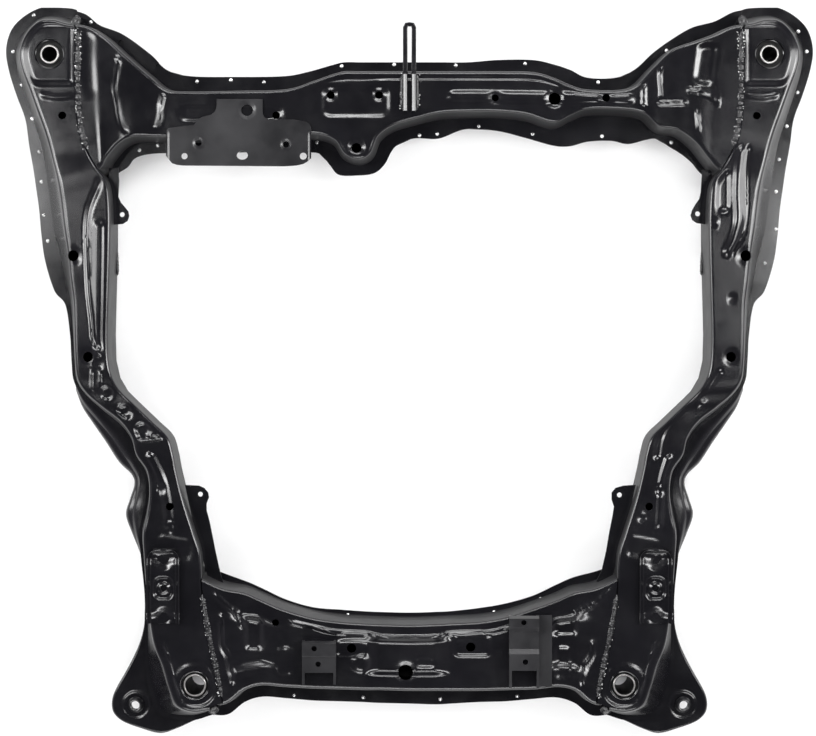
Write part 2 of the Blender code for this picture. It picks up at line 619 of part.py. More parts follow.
def roll_mount_plate(name, finish):
    """Flat bracket plate on the front crossmember, its two sides turned down behind the wall."""
    low = DECK_FRONT_Z + GAP
    high = low + PLATE_SHEET
    made = prism(name, PLATE_OUTLINE, low, high, finish)
    for x, y, radius in PLATE_HOLES:
        cylinder_cut(made, x, y, radius, high, finish)
    sides = sorted(x for x, y in PLATE_OUTLINE)
    for number, (edge, inward) in enumerate(((sides[0], 1), (sides[-1], -1))):
        lip_outline = [(edge, PLATE_LIP_FROM), (edge + inward * PLATE_SHEET, PLATE_LIP_FROM),
                       (edge + inward * PLATE_SHEET, PLATE_LIP_TO), (edge, PLATE_LIP_TO)]
        lip = prism(f"{name}.lip.{number}", lip_outline, low - PLATE_LIP, low + PLATE_SHEET / 2, finish)
        lip.hide_render = True
        lip.display_type = "WIRE"
        joined = made.modifiers.new("lip", "BOOLEAN")
        joined.operation = "UNION"
        joined.solver = "EXACT"
        joined.object = lip
    return made


def lift_hook(name, finish):
    """A bent rod: two legs along the crossmember's deck and a loop that rises in front of it."""
    low = DECK_FRONT_Z + GAP + HOOK_ROD / 2
    half = HOOK_HALF_WIDTH
    reach = HOOK_REACH_Y - HOOK_BEND_Y
    leg = [(half, HOOK_FOOT_Y, low)]
    leg += [(half, HOOK_BEND_Y + reach * along, low + HOOK_RISE * up) for along, up in HOOK_LEG]
    right = leg + [(half * HOOK_BEND_SHARE, HOOK_REACH_Y - GAP, low + HOOK_RISE),
                   (0, HOOK_REACH_Y, low + HOOK_RISE)]
    left = [(-x, y, z) for x, y, z in reversed(right[:-1])]
    route = right + left
    curve = bpy.data.curves.new(name, "CURVE")
    curve.dimensions = "3D"
    curve.bevel_depth = HOOK_ROD / 2 * MM
    curve.bevel_resolution = 2
    curve.use_fill_caps = True
    line = curve.splines.new("POLY")
    line.points.add(len(route) - 1)
    for point, (x, y, z) in zip(line.points, route):
        point.co = (x * MM, y * MM, z * MM, 1.0)
    made = bpy.data.objects.new(name, curve)
    made.data.materials.append(finish)
    bpy.context.scene.collection.objects.link(made)
    return made


def stabiliser_bracket(side, name, finish):
    """A channel on the rear corner's deck: flat base with three holes and two raised sides."""
    seat = DECK_NECK_Z + GAP + STAB_SHEET
    half = STAB_WIDTH / 2
    front = STAB_Y + STAB_LENGTH / 2
    x = side * STAB_X
    rows = []
    ends = ((0.0, STAB_END_LIP), (STAB_TAPER, 1.0), (1.0 - STAB_TAPER, 1.0), (1.0, STAB_END_LIP))
    for share, lip in ends:
        y = front - share * STAB_LENGTH
        rise = STAB_LIP * lip
        narrow = half - STAB_END_DRAW * (1.0 - lip) / (1.0 - STAB_END_LIP)
        rows.append([(x - narrow, y, seat + rise), (x - narrow, y, seat + STAB_SHEET / 2),
                     (x - narrow + STAB_SHEET, y, seat), (x + narrow - STAB_SHEET, y, seat),
                     (x + narrow, y, seat + STAB_SHEET / 2), (x + narrow, y, seat + rise)])
    made = sheet_from(name, rows, finish, thickness=STAB_SHEET)
    outer_hole = STAB_LENGTH / 2 - STAB_HOLE_EDGE
    for y in (STAB_Y - outer_hole, STAB_Y, STAB_Y + outer_hole):
        cylinder_cut(made, x, y, STAB_HOLE_R, seat, finish)
    return made


def inner_wall_x(y):
    """Distance from the middle plane to a side member's inner wall at a place along the car."""
    line = sorted((row[3][1], row[3][0]) for row in RAIL)
    return float(np.interp(y, [p[0] for p in line], [p[1] for p in line]))


def hose_tab(side, name, y, reach, finish):
    """A small ear with a round end and a hole, standing out of a side member's inner wall."""
    end = inner_wall_x(y) - reach
    turns = [math.radians(a) for a in range(90, 271, 30)]
    arc = [(side * (end + TAB_R * math.cos(t)), y + TAB_R * math.sin(t)) for t in turns]
    bends = [row[3][1] for row in RAIL if abs(row[3][1] - y) < TAB_ROOT]
    spots = sorted([y - TAB_ROOT, *bends, y + TAB_ROOT])
    root = [(side * (inner_wall_x(spot) - GAP), spot) for spot in spots]
    made = prism(name, root + arc, TAB_Z, TAB_Z + TAB_SHEET, finish)
    cylinder_cut(made, side * end, y, TAB_HOLE_R, TAB_Z, finish)


def build():
    """Make every piece of the subframe."""
    clear_scene()
    paint = material("black_paint", (0.012, 0.012, 0.013), 0.22, 0.0)
    steel = material("bare_steel", (0.55, 0.54, 0.52), 0.3, 1.0)
    rubber = material("rubber", (0.02, 0.02, 0.02), 0.75, 0.0)

    front_table = [row + (0.0,) for row in FRONT_CROSS]
    rear_table = [row[:4] + (DECK_REAR_Z, row[4]) for row in REAR_CROSS]
    front = crossmember("front_crossmember_upper", front_table, paint, True)
    crossmember("front_crossmember_lower", front_table, paint, False)
    rear = crossmember("rear_crossmember_upper", rear_table, paint, True)
    crossmember("rear_crossmember_lower", rear_table, paint, False)
    for x, y, radius in FRONT_DECK_HOLES:
        cylinder_cut(front, x, y, radius, DECK_FRONT_Z, paint)
    for x, y, radius in REAR_DECK_HOLES:
        cylinder_cut(rear, x, y, radius, DECK_REAR_Z, paint)

    bushes = (
        ("front", FRONT_MOUNT_X, FRONT_MOUNT_Y, FRONT_BUSH_R, FRONT_SLEEVE_R, FRONT_BORE_R,
         DECK_CORNER_Z),
        ("rear", REAR_MOUNT_X, REAR_MOUNT_Y, REAR_BUSH_R, REAR_SLEEVE_R, REAR_BORE_R,
         DECK_PLATFORM_Z),
    )
    for side, word in ((-1, "left"), (1, "right")):
        upper = rail_upper(side, f"side_member_upper_{word}", paint)
        lower = rail_lower(side, f"side_member_lower_{word}", paint)
        rail_skirt(side, f"side_member_skirt_{word}", paint)
        for x, y, radius in RAIL_HOLES:
            cylinder_cut(upper, side * x, y, radius, DECK_RAIL_Z, paint)
        for place, x, y, radius, sleeve, bore, deck_z in bushes:
            cylinder_cut(upper, side * x, y, radius + GAP, deck_z, paint, segments=SEGMENTS)
            bush(f"{place}_{word}", side * x, y, radius, sleeve, bore, deck_z, (paint, rubber, steel))
        cylinder_cut(lower, side * FRONT_MOUNT_X, FRONT_MOUNT_Y, BOLT_ACCESS_R, PAN_Z, paint,
                     segments=SEGMENTS)
        plate = corner_plate(side, f"rear_corner_plate_{word}", paint)
        boss = (side * CORNER_BOSS_X, CORNER_BOSS_Y)
        cylinder_cut(plate, *boss, CORNER_HOLE_R, CORNER_TOP_Z, paint)
        nut(f"corner_nut_{word}", *boss, CORNER_TOP_Z + GAP, CORNER_HOLE_R, paint)
        stabiliser_bracket(side, f"stabiliser_bracket_{word}", paint)
        hose_tab(side, f"hose_tab_front_{word}", FRONT_TAB_Y, FRONT_TAB_REACH, paint)
        hose_tab(side, f"hose_tab_rear_{word}", REAR_TAB_Y, REAR_TAB_REACH, paint)
    rack_bracket("rack_bracket_left", RACK_LEFT, paint)
    rack_bracket("rack_bracket_right", RACK_RIGHT, paint)
    roll_mount_plate("roll_mount_plate", paint)
    lift_hook("lift_hook", paint)


build()
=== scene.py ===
"""The look of a pressed-steel front subframe: fine painted shells, weld beads, bushes and a stage.

Every length in the tables is in millimetres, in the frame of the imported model, and MM turns it
into metres. X runs across the car, Y towards its front and Z up.
"""
import math

import bmesh
import bpy
import numpy as np
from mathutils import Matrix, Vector


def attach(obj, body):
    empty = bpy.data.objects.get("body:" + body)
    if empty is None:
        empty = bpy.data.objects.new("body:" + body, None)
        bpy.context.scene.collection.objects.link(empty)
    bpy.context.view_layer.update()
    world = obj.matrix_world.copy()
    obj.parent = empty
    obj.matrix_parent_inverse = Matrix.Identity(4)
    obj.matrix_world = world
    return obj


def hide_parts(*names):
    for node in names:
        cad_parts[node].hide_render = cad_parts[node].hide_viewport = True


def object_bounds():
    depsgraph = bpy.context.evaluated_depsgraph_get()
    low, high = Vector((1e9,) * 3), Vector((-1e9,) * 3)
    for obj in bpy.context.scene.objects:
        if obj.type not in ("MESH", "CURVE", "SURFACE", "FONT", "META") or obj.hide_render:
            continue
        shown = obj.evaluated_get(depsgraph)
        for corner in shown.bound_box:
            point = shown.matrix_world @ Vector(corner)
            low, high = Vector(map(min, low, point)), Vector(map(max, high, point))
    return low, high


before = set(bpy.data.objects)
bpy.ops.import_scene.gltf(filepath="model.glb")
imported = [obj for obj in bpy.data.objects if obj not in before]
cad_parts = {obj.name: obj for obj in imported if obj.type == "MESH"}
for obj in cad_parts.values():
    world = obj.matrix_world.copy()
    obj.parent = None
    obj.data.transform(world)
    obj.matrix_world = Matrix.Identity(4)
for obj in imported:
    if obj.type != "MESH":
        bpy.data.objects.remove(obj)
CAD_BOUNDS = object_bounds()

bl_info = {
    "name": "Subframe Look",
    "version": (1, 0, 0),
    "blender": (4, 5, 0),
    "location": "View3D > Sidebar > Subframe",
    "description": "Pressed shells, welds, bushes and studio for a car's front subframe",
    "category": "Object",
}

MM = 0.001
BODY = "root"
SIDES = ((-1, "left"), (1, "right"))

# Joints and heights of the pressed shells
FLANGE_TOP = 47.55
LAP_Z = 26.0
DECK_CORNER = 98.0
DECK_RAIL = 100.0
DECK_NECK = 96.0
DECK_FRONT = 86.0
DECK_REAR = 98.0
SHEET = 2.4
FILLET = 3.6
WALL_DRAFT = 5.0
GAP = 0.3
# Radius at a plate's turned edges, the wall of a bush's shell, and along a weld the length of a
# ripple and the distance between spatter beads
ROLL = 5.0
SLEEVE_WALL = 1.8
RIPPLE = 2.6
SPATTER_STEP = 1.6
# Row of a side member's table where its rear platform starts, and rows that its skirt follows
PLATFORM_ROW = 31
SKIRT_ROWS = (20, 30)
# A pressing fades out over this distance from the edge of its deck
FADE = 9.0

# Edges that turn by more than this many degrees are drawn as creases
SHARP = 40.0

# Outer crease, wall foot and flange edge of a side member, then its inner crease, all in plan
RAIL = [
    (428, 442, 431, 456, 432, 469, 423, 437),
    (440, 444, 441, 458, 440, 471, 423, 434),
    (455, 448, 456, 461, 458, 472, 423, 430),
    (471, 447, 475, 460, 478, 472, 423, 425),
    (484, 437, 492, 450, 500, 461, 423, 419),
    (493, 422, 506, 433, 517, 443, 423, 411),
    (497, 404, 511, 411, 524, 417, 423, 400),
    (493, 383, 508, 387, 520, 389, 423, 384),
    (484, 359, 500, 360, 510, 357, 423, 361),
    (474, 331, 490, 330, 499, 327, 422, 337),
    (464, 303, 480, 300, 494, 293, 419, 311),
    (456, 275, 474, 272, 489, 265, 412, 284),
    (448, 245, 470, 243, 485, 238, 399, 260),
    (443, 215, 466, 213, 481, 209, 386, 240),
    (439, 180, 461, 180, 478, 176, 382, 205),
    (434, 143, 452, 145, 473, 142, 382, 165),
    (431, 112, 446, 114, 461, 104, 383, 125),
    (428, 85, 440, 87, 447, 86, 384, 88),
    (427, 48, 437, 48, 441, 48, 385, 48),
    (426, 14, 435, 13, 439, 13, 384, 14),
    (423, -10, 432, -12, 436, -13, 379, -8),
    (412, -28, 420, -31, 424, -33, 369, -25),
    (392, -46, 398, -51, 402, -54, 351, -43),
    (369, -64, 375, -70, 379, -73, 328, -65),
    (355, -84, 361, -89, 365, -92, 309, -84),
    (349, -106, 355, -110, 359, -112, 302, -105),
    (335, -128, 342, -131, 346, -132, 298, -126),
    (332, -156, 338, -157, 342, -158, 291, -156),
    (335, -183, 342, -184, 346, -185, 283, -183),
    (340, -208, 347, -209, 351, -210, 275, -208),
    (339, -238, 345, -240, 349, -241, 267, -236),
    (335, -290, 340, -292, 344, -293, 264, -285),
    (327, -345, 340, -348, 344, -349, 257, -328),
    (314, -378, 338, -386, 343, -388, 251, -358),
    (306, -405, 333, -413, 338, -416, 245, -385),
    (296, -427, 320, -441, 324, -446, 241, -405),
    (276, -435, 284, -447, 286, -454, 239, -416),
    (255, -433, 255, -440, 254, -446, 238, -424),
]
# Deck heights from the front on, and how many rows have each
RAIL_HEIGHTS = [(DECK_CORNER, 12), (DECK_RAIL, 10), (DECK_NECK, 16)]

# Front crease, front edge, rear crease and rear edge of the front crossmember
FRONT_CROSS = [
    (-442, 444, -442, 470, -412, 248, -402, 238),
    (-412, 440, -420, 463, -394, 260, -378, 257),
    (-390, 427, -402, 449, -387, 273, -366, 265),
    (-363, 403, -372, 437, -371, 292, -357, 276),
    (-334, 378, -336, 411, -353, 301, -343, 281),
    (-312, 361, -315, 391, -325, 301, -322, 283),
    (-285, 358, -285, 383, -285, 301, -285, 283),
    (-222, 359, -222, 382, -222, 303, -222, 284),
    (-158, 361, -162, 383, -158, 305, -160, 284),
    (-122, 372, -130, 389, -116, 304, -119, 283),
    (-99, 380, -102, 397, -95, 296, -104, 268),
    (-83, 384, -85, 401, -83, 279, -92, 255),
    (-66, 384, -66, 401, -66, 272, -68, 254),
    (-50, 384, -50, 401, -51, 279, -46, 257),
    (-36, 384, -36, 401, -41, 301, -32, 269),
    (-18, 384, -18, 401, -22, 315, -19, 291),
    (8, 384, 8, 401, 8, 324, 5, 302),
    (40, 384, 40, 401, 38, 331, 38, 302),
    (76, 384, 76, 401, 72, 333, 72, 314),
    (115, 384, 115, 404, 112, 333, 113, 312),
    (158, 383, 160, 404, 150, 329, 150, 303),
    (184, 376, 188, 398, 184, 319, 186, 293),
    (205, 367, 209, 391, 206, 328, 208, 292),
    (226, 361, 231, 381, 228, 336, 232, 298),
    (268, 360, 268, 381, 268, 336, 262, 299),
    (291, 367, 293, 392, 300, 331, 285, 295),
    (312, 388, 316, 413, 320, 314, 318, 302),
    (337, 411, 341, 431, 345, 308, 338, 291),
    (364, 421, 367, 446, 365, 293, 354, 281),
    (389, 430, 396, 454, 382, 272, 367, 270),
    (412, 440, 420, 466, 394, 258, 378, 257),
    (442, 444, 442, 470, 412, 248, 402, 238),
]
FRONT_HEIGHTS = [(DECK_CORNER, 3), (94, 1), (89, 1), (DECK_FRONT, 21), (89, 1), (94, 1),
                 (DECK_CORNER, 4)]

# The same for the rear crossmember, then the depth of its trough at each row
REAR_CROSS = [
    (-272, -262, -276, -248, -258, -428, -262, -446),
    (-240, -277, -243, -262, -233, -424, -236, -446),
    (-211, -283, -208, -275, -212, -408, -214, -430),
    (-190, -292, -188, -284, -190, -401, -191, -423),
    (-162, -304, -160, -297, -160, -403, -160, -425),
    (-124, -315, -125, -307, -124, -405, -124, -428),
    (-90, -320, -90, -310, -90, -406, -90, -429),
    (-62, -322, -62, -312, -56, -407, -60, -430),
    (-42, -323, -42, -313, -38, -407, -42, -431),
    (0, -324, 0, -314, 0, -408, 0, -432),
    (34, -323, 34, -313, 30, -408, 34, -433),
    (54, -322, 54, -312, 50, -408, 54, -432),
    (90, -320, 90, -308, 90, -408, 90, -430),
    (125, -314, 125, -302, 125, -407, 125, -429),
    (160, -303, 160, -292, 160, -406, 160, -426),
    (190, -292, 190, -278, 190, -403, 190, -424),
    (211, -283, 213, -268, 212, -408, 214, -431),
    (240, -277, 243, -260, 233, -424, 236, -447),
    (272, -262, 276, -248, 258, -428, 262, -446),
]
TROUGH = np.array([0, 0, 5, 6, 0, 0, 0, 1, 8, 8, 8, 1, 0, 0, 0, 6, 5, 0, 0])


def with_heights(rows, heights):
    """Rows of a table with the height of the deck as the last value of each."""
    levels, counts = zip(*heights)
    return np.c_[np.array(rows), np.repeat(levels, counts)]


def smooth_rows(table, steps):
    """Rows of a table refined along its length.

    Each value follows a cubic through its neighbours with the tangent halfway between them, so
    the line passes through every row of the table.
    """
    table = np.array(table, dtype=float)
    padded = np.concatenate([2 * table[:1] - table[1:2], table, 2 * table[-1:] - table[-2:-1]])
    before, start, end, after = padded[:-3], padded[1:-2], padded[2:-1], padded[3:]
    t = (np.arange(steps) / steps)[None, :, None]
    into = ((end - before) / 2)[:, None]
    out = ((after - start) / 2)[:, None]
    a, b = start[:, None], end[:, None]
    curve = ((2 * t**3 - 3 * t**2 + 1) * a + (t**3 - 2 * t**2 + t) * into
             + (3 * t**2 - 2 * t**3) * b + (t**3 - t**2) * out)
    return np.concatenate([curve.reshape(-1, table.shape[1]), table[-1:]])


def unit(vectors):
    """Vectors of length one along the last axis."""
    return vectors / np.maximum(np.linalg.norm(vectors, axis=-1, keepdims=True), 1e-9)


def sampled(line, places, wanted):
    """Points of a line at the wanted places, from the places of the points that it has."""
    return np.stack([np.interp(wanted, places, column) for column in line.T], axis=1)


def plan_normals(line, inside):
    """Unit normals of a line in plan, turned towards the matching points of an inside line."""
    along = np.gradient(line, axis=0)
    normal = unit(np.c_[-along[:, 1], along[:, 0]])
    facing = np.sum(normal * (inside - line), axis=1)
    return normal * np.where(facing < 0, -1.0, 1.0)[:, None]


def rise(share):
    """A smooth step from 0 to 1 as share runs from 0 to 1."""
    t = np.clip(share, 0.0, 1.0)
    return t * t * (3 - 2 * t)


def dimple(x, y, at, radius, depth, flat=0.45):
    """A round pressing: full depth inside flat times the radius, fading to none at the radius."""
    away = np.hypot(x - at[0], y - at[1]) / radius
    return depth * rise((1 - away) / (1 - flat))


def pad(x, y, at, half, corner, depth, edge=5.0, turn=0.0):
    """A rounded box in plan, raised or sunk by depth, with a sloping edge of the given width."""
    c, s = math.cos(math.radians(turn)), math.sin(math.radians(turn))
    u = (x - at[0]) * c + (y - at[1]) * s
    v = (y - at[1]) * c - (x - at[0]) * s
    du = np.abs(u) - (half[0] - corner)
    dv = np.abs(v) - (half[1] - corner)
    outside = np.hypot(np.maximum(du, 0), np.maximum(dv, 0)) + np.minimum(np.maximum(du, dv), 0)
    return depth * rise((corner - outside) / edge)


def distance_to_route(x, y, route):
    """Distance in plan from each point to the nearest stretch of an open route."""
    nearest = np.full(x.shape, 1e9)
    for (ax, ay), (bx, by) in zip(route[:-1], route[1:]):
        length = (bx - ax) ** 2 + (by - ay) ** 2
        t = np.clip(((x - ax) * (bx - ax) + (y - ay) * (by - ay)) / length, 0, 1)
        nearest = np.minimum(nearest, np.hypot(x - ax - t * (bx - ax), y - ay - t * (by - ay)))
    return nearest


def bead(x, y, route, width, depth):
    """A pressed rib or groove along a route: full depth over the middle fifth of its width, fading
    to none at its edges."""
    away = distance_to_route(x, y, smooth_rows(route, 4))
    return depth * rise((1 - away / (width / 2)) / 0.8)


def relief_of(features):
    """A function of plan position that adds up a list of pressings."""
    def height(x, y):
        total = np.zeros_like(x)
        for shape, *sizes in features:
            total = total + shape(x, y, *sizes)
        return total
    return height


def wall_behind(outer, thickness):
    """The inner face of a sheet: each point lies where its two neighbouring strips, moved in by
    the wall's thickness, meet."""
    along = np.gradient(outer, axis=0)
    across = np.diff(outer, axis=1)
    normal = unit(np.cross((along[:, 1:] + along[:, :-1]) / 2, across))
    if normal[..., 2].sum() <= 0:
        normal = -normal
    before = np.concatenate([normal[:, :1], normal], axis=1)
    after = np.concatenate([normal, normal[:, -1:]], axis=1)
    fold = np.maximum(1.0 + np.sum(before * after, axis=2, keepdims=True), 0.4)
    return outer - thickness * (before + after) / fold


def grid_quads(index):
    """The quads of a grid of point numbers."""
    quads = np.stack([index[:-1, :-1], index[:-1, 1:], index[1:, 1:], index[1:, :-1]], axis=-1)
    return quads.reshape(-1, 4)


def put_mesh(name, points, faces, sharp=SHARP):
    """A mesh object from points in millimetres and faces of point numbers, smooth between its
    creases, with every face turned outwards."""
    mesh = bpy.data.meshes.new(name)
    mesh.from_pydata(np.asarray(points) * MM, [], faces)
    mesh.validate()
    shell = bmesh.new()
    shell.from_mesh(mesh)
    bmesh.ops.recalc_face_normals(shell, faces=shell.faces)
    shell.to_mesh(mesh)
    shell.free()
    mesh.shade_smooth()
    mesh.set_sharp_from_angle(angle=math.radians(sharp))
    made = bpy.data.objects.new(name, mesh)
    bpy.context.scene.collection.objects.link(made)
    return made


def closed_sheet(name, outer, thickness=SHEET):
    """A sheet with a wall: its outer grid, the inner face behind it and the rim between them."""
    inner = wall_behind(outer, thickness)
    count, columns = outer.shape[:2]
    index = np.arange(count * columns).reshape(count, columns)
    back = index + count * columns
    rim = np.concatenate([index[0], index[1:, -1], index[-1, -2::-1], index[-2:0:-1, 0]])
    following = np.roll(rim, -1)
    edge = np.stack([following, rim, rim + count * columns, following + count * columns], axis=-1)
    quads = np.concatenate([grid_quads(index), grid_quads(back)[:, ::-1], edge])
    points = np.concatenate([outer.reshape(-1, 3), inner.reshape(-1, 3)])
    return put_mesh(name, inside_the_box(points), quads)


def inside_the_box(points):
    """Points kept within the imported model's box, so that no spline runs past it."""
    low, high = (np.array(corner) / MM for corner in CAD_BOUNDS)
    return np.clip(points, low, high)


def profile_tube(path, across, up, section):
    """A section of (side, height) points carried along a path: at each point of the path it is
    laid out along that point's side and up directions, and both ends run to a point."""
    ring = section[..., :1] * across[:, None, :] + section[..., 1:] * up[:, None, :]
    start, end = (np.repeat(path[k][None, None], ring.shape[1], axis=1) for k in (0, -1))
    body = np.concatenate([start, path[:, None, :] + ring, end])
    count, columns = body.shape[:2]
    index = np.arange(count * columns).reshape(count, columns)
    index = np.concatenate([index, index[:, :1]], axis=1)
    index[0] = 0
    index[-1] = (count - 1) * columns
    return body.reshape(-1, 3), grid_quads(index)


def punch(piece, cutters):
    """Cut closed cutter meshes out of a piece with an exact Boolean, and keep the result."""
    for cutter in cutters:
        hole = piece.modifiers.new("hole", "BOOLEAN")
        hole.operation = "DIFFERENCE"
        hole.solver = "EXACT"
        hole.object = cutter
    graph = bpy.context.evaluated_depsgraph_get()
    mesh = bpy.data.meshes.new_from_object(piece.evaluated_get(graph))
    piece.modifiers.clear()
    piece.data = mesh
    for cutter in cutters:
        bpy.data.objects.remove(cutter, do_unlink=True)
    mesh.shade_smooth()
    mesh.set_sharp_from_angle(angle=math.radians(SHARP))
    return piece


def column_cutter(outline, low, high):
    """A prism to cut with: an outline in plan between two heights, as one closed mesh."""
    count = len(outline)
    points = np.concatenate([np.c_[outline, np.full(count, z)] for z in (low, high)])
    ring = list(range(count))
    faces = [ring[::-1], [count + i for i in ring]]
    faces += [[i, (i + 1) % count, count + (i + 1) % count, count + i] for i in ring]
    return put_mesh("cutter", points, faces)


def round_outline(x, y, radius, count=32, stretch=1.0):
    """Points round a circle in plan, stretched across X."""
    turn = np.linspace(0, 2 * np.pi, count, endpoint=False)
    return np.c_[x + radius * stretch * np.cos(turn), y + radius * np.sin(turn)]


def drills(holes, kind, side=1, count=32):
    """Round cutters for holes given by x, y and radius, on the given side of the car."""
    return [column_cutter(round_outline(side * x, y, r, count), *CUTS[kind]) for x, y, r in holes]


def rolled(away, radius):
    """Fall of a rolled edge: a quarter round of the radius, by the distance from the edge."""
    inside = np.clip(radius - away, 0.0, radius)
    return radius - np.sqrt(radius ** 2 - inside ** 2)


def rounding(crease, foot, foot_z, inward, deck_z, radius):
    """The strips from a wall round to the deck: a quarter turn between the wall and the level."""
    share = radius / (deck_z - foot_z)
    low = crease + (foot - crease) * share[:, None]
    strips = []
    for turn in np.linspace(0, np.pi / 2, 6):
        plan = crease + (low - crease) * (1 - np.sin(turn))
        plan = plan + inward * (radius * (1 - np.cos(turn)))[:, None]
        strips.append(np.c_[plan, deck_z - radius * (1 - np.sin(turn))])
    return strips


def between(start, end, shares):
    """Points at the given shares of the way from one line of points to another."""
    return [start + (end - start) * share for share in shares]


def shell_grid(lines, deck_z, inner_wall, relief, deck_columns=30):
    """A pressed shell's outer face as a grid: flange, wall, rounding, deck, rounding and the wall
    on the other side. The relief moves the deck up or down, and fades out at its roundings."""
    crease, foot, edge, inner, inner_foot, inner_edge = lines
    into_a = plan_normals(crease, inner)
    into_b = plan_normals(inner, crease)
    width = np.linalg.norm(crease - inner, axis=1)
    radius = np.minimum(FILLET, 0.3 * width)
    flat = np.full(len(crease), FLANGE_TOP)
    first = rounding(crease, foot, flat, into_a, deck_z, radius)
    if inner_wall:
        low = np.full(len(crease), LAP_Z)
        last = rounding(inner, inner, low, into_b, deck_z, radius)
        tail = [np.c_[inner, low]]
    else:
        low = flat
        last = rounding(inner, inner_foot, low, into_b, deck_z, radius)
        tail = [np.c_[inner_foot, low], np.c_[inner_edge, low]]
        tail = tail[:1] + between(tail[0], tail[1], (0.1, 0.55, 1.0))
    head = [np.c_[edge, flat], np.c_[foot, flat]]
    head = between(head[0], head[1], (0.0, 0.45, 0.9)) + head[1:]
    wall = between(head[-1], first[0], (0.12, 0.5, 0.88))
    far_wall = between(last[0], tail[0], (0.12, 0.5, 0.88))
    shares = np.linspace(0, 1, deck_columns)[1:-1]
    deck = between(first[-1], last[-1], shares)
    for share, strip in zip(shares, deck):
        fade = rise(min(share, 1 - share) * width / FADE)
        strip[:, 2] += relief(strip[:, 0], strip[:, 1]) * fade
    grid = head + wall + first + deck + last[::-1] + far_wall + tail
    return np.stack(grid, axis=1)


def rail_lines(side, steps):
    """The side member's table for one side, refined: its six lines in plan and its deck height."""
    table = smooth_rows(with_heights(RAIL, RAIL_HEIGHTS), steps)
    table[:, [0, 2, 4, 6]] *= side
    crease, foot, edge, inner = (table[:, k:k + 2] for k in (0, 2, 4, 6))
    return (crease, foot, edge, inner, inner, inner), table[:, 8]


def cross_lines(table, steps):
    """A crossmember's table refined: its six lines in plan and its deck height."""
    fine = smooth_rows(table, steps)
    crease, edge, inner, inner_edge = (fine[:, k:k + 2] for k in (0, 2, 4, 6))
    foot = crease - plan_normals(crease, inner) * WALL_DRAFT
    inner_foot = inner - plan_normals(inner, crease) * WALL_DRAFT
    return (crease, foot, edge, inner, inner_foot, inner_edge), fine[:, 8]


def rail_outline(side):
    """Plan outline of a side member, 0.3 mm wide of it, where a crossmember butts on it."""
    (crease, foot, edge, inner, _, _), _ = rail_lines(side, 6)
    outer = edge - plan_normals(edge, inner) * GAP
    far = inner - plan_normals(inner, crease) * GAP
    start, end = (np.stack([line[k] for line in (edge, foot, crease, inner)]) - [side * GAP, 0]
                  for k in (0, -1))
    return np.concatenate([outer, end, far[-2:0:-1], start[::-1]])


# Pressings in the decks: shape, then its place and sizes. A negative depth is sunk.
RAIL_BOTH = [
    (bead, [(468, 352), (450, 349), (431, 351)], 8, 0.9),
    (dimple, (429, 147), 14, -1.2),
    (dimple, (410, 18), 12, -1.0),
    (bead, [(318, -352), (314, -370), (306, -395), (300, -418)], 9, -2.2),
    (bead, [(312, -348), (306, -372), (298, -400), (292, -422)], 6, 1.6),
    (pad, (274, -401), (30, 30), 28, 1.6, 6),
]
RAIL_LEFT = [
    (pad, (440, 404), (60, 42), 30, 3.0, 9),
    (bead, [(392, 256), (397, 236), (404, 220), (410, 201), (412, 176), (411, 137), (409, 98),
            (405, 64), (403, 41), (395, 29)], 9, -3.0),
    (pad, (396, 105), (9, 88), 8, 1.8, 6),
    (dimple, (386, -28), 11, -3.4), (dimple, (364, -52), 11, -3.4), (dimple, (341, -76), 13, -3.4),
    (dimple, (395, 28), 7, 2.2), (dimple, (396, 10), 9, -1.2),
    (bead, [(405, -2), (405, -24)], 5, 1.3), (bead, [(394, -3), (394, -15)], 5, 1.3),
    (bead, [(352, -85), (335, -86), (318, -84)], 7, -2.4),
    (bead, [(330, -110), (316, -140), (309, -172), (306, -200)], 16, 2.2),
    (dimple, (317, -150), 8, -1.6), (dimple, (305, -197), 8, -1.4),
    (pad, (300, -225), (26, 16), 10, -1.5, 7, 10),
]
RAIL_RIGHT = [
    (pad, (438, 404), (60, 42), 30, 3.0, 9),
    (pad, (400, 229), (10, 28), 8, -3.0, 6),
    (bead, [(422, 281), (419, 255), (418, 225), (419, 200), (418, 186), (412, 165), (405, 152)],
     15, 3.2),
    (bead, [(432, 284), (429, 250), (429, 205), (424, 172), (413, 152)], 6, -1.6),
    (pad, (404, 300), (16, 22), 10, -3.0, 10, -25),
    (dimple, (389, 189), 6, 1.8), (dimple, (440, 167), 7, -1.0), (dimple, (411, 93), 7, -1.0),
    (dimple, (373, -41), 6, -1.2),
    (bead, [(395, -2), (374, -26), (340, -56), (322, -80), (316, -108)], 12, -1.8),
    (bead, [(330, -112), (322, -140), (320, -168), (318, -205)], 13, 2.4),
    (dimple, (320, -152), 8, -1.8), (dimple, (297, -186), 8, -1.5), (dimple, (318, -204), 8, -1.6),
    (pad, (298, -225), (24, 16), 10, -1.5, 7, -10),
]
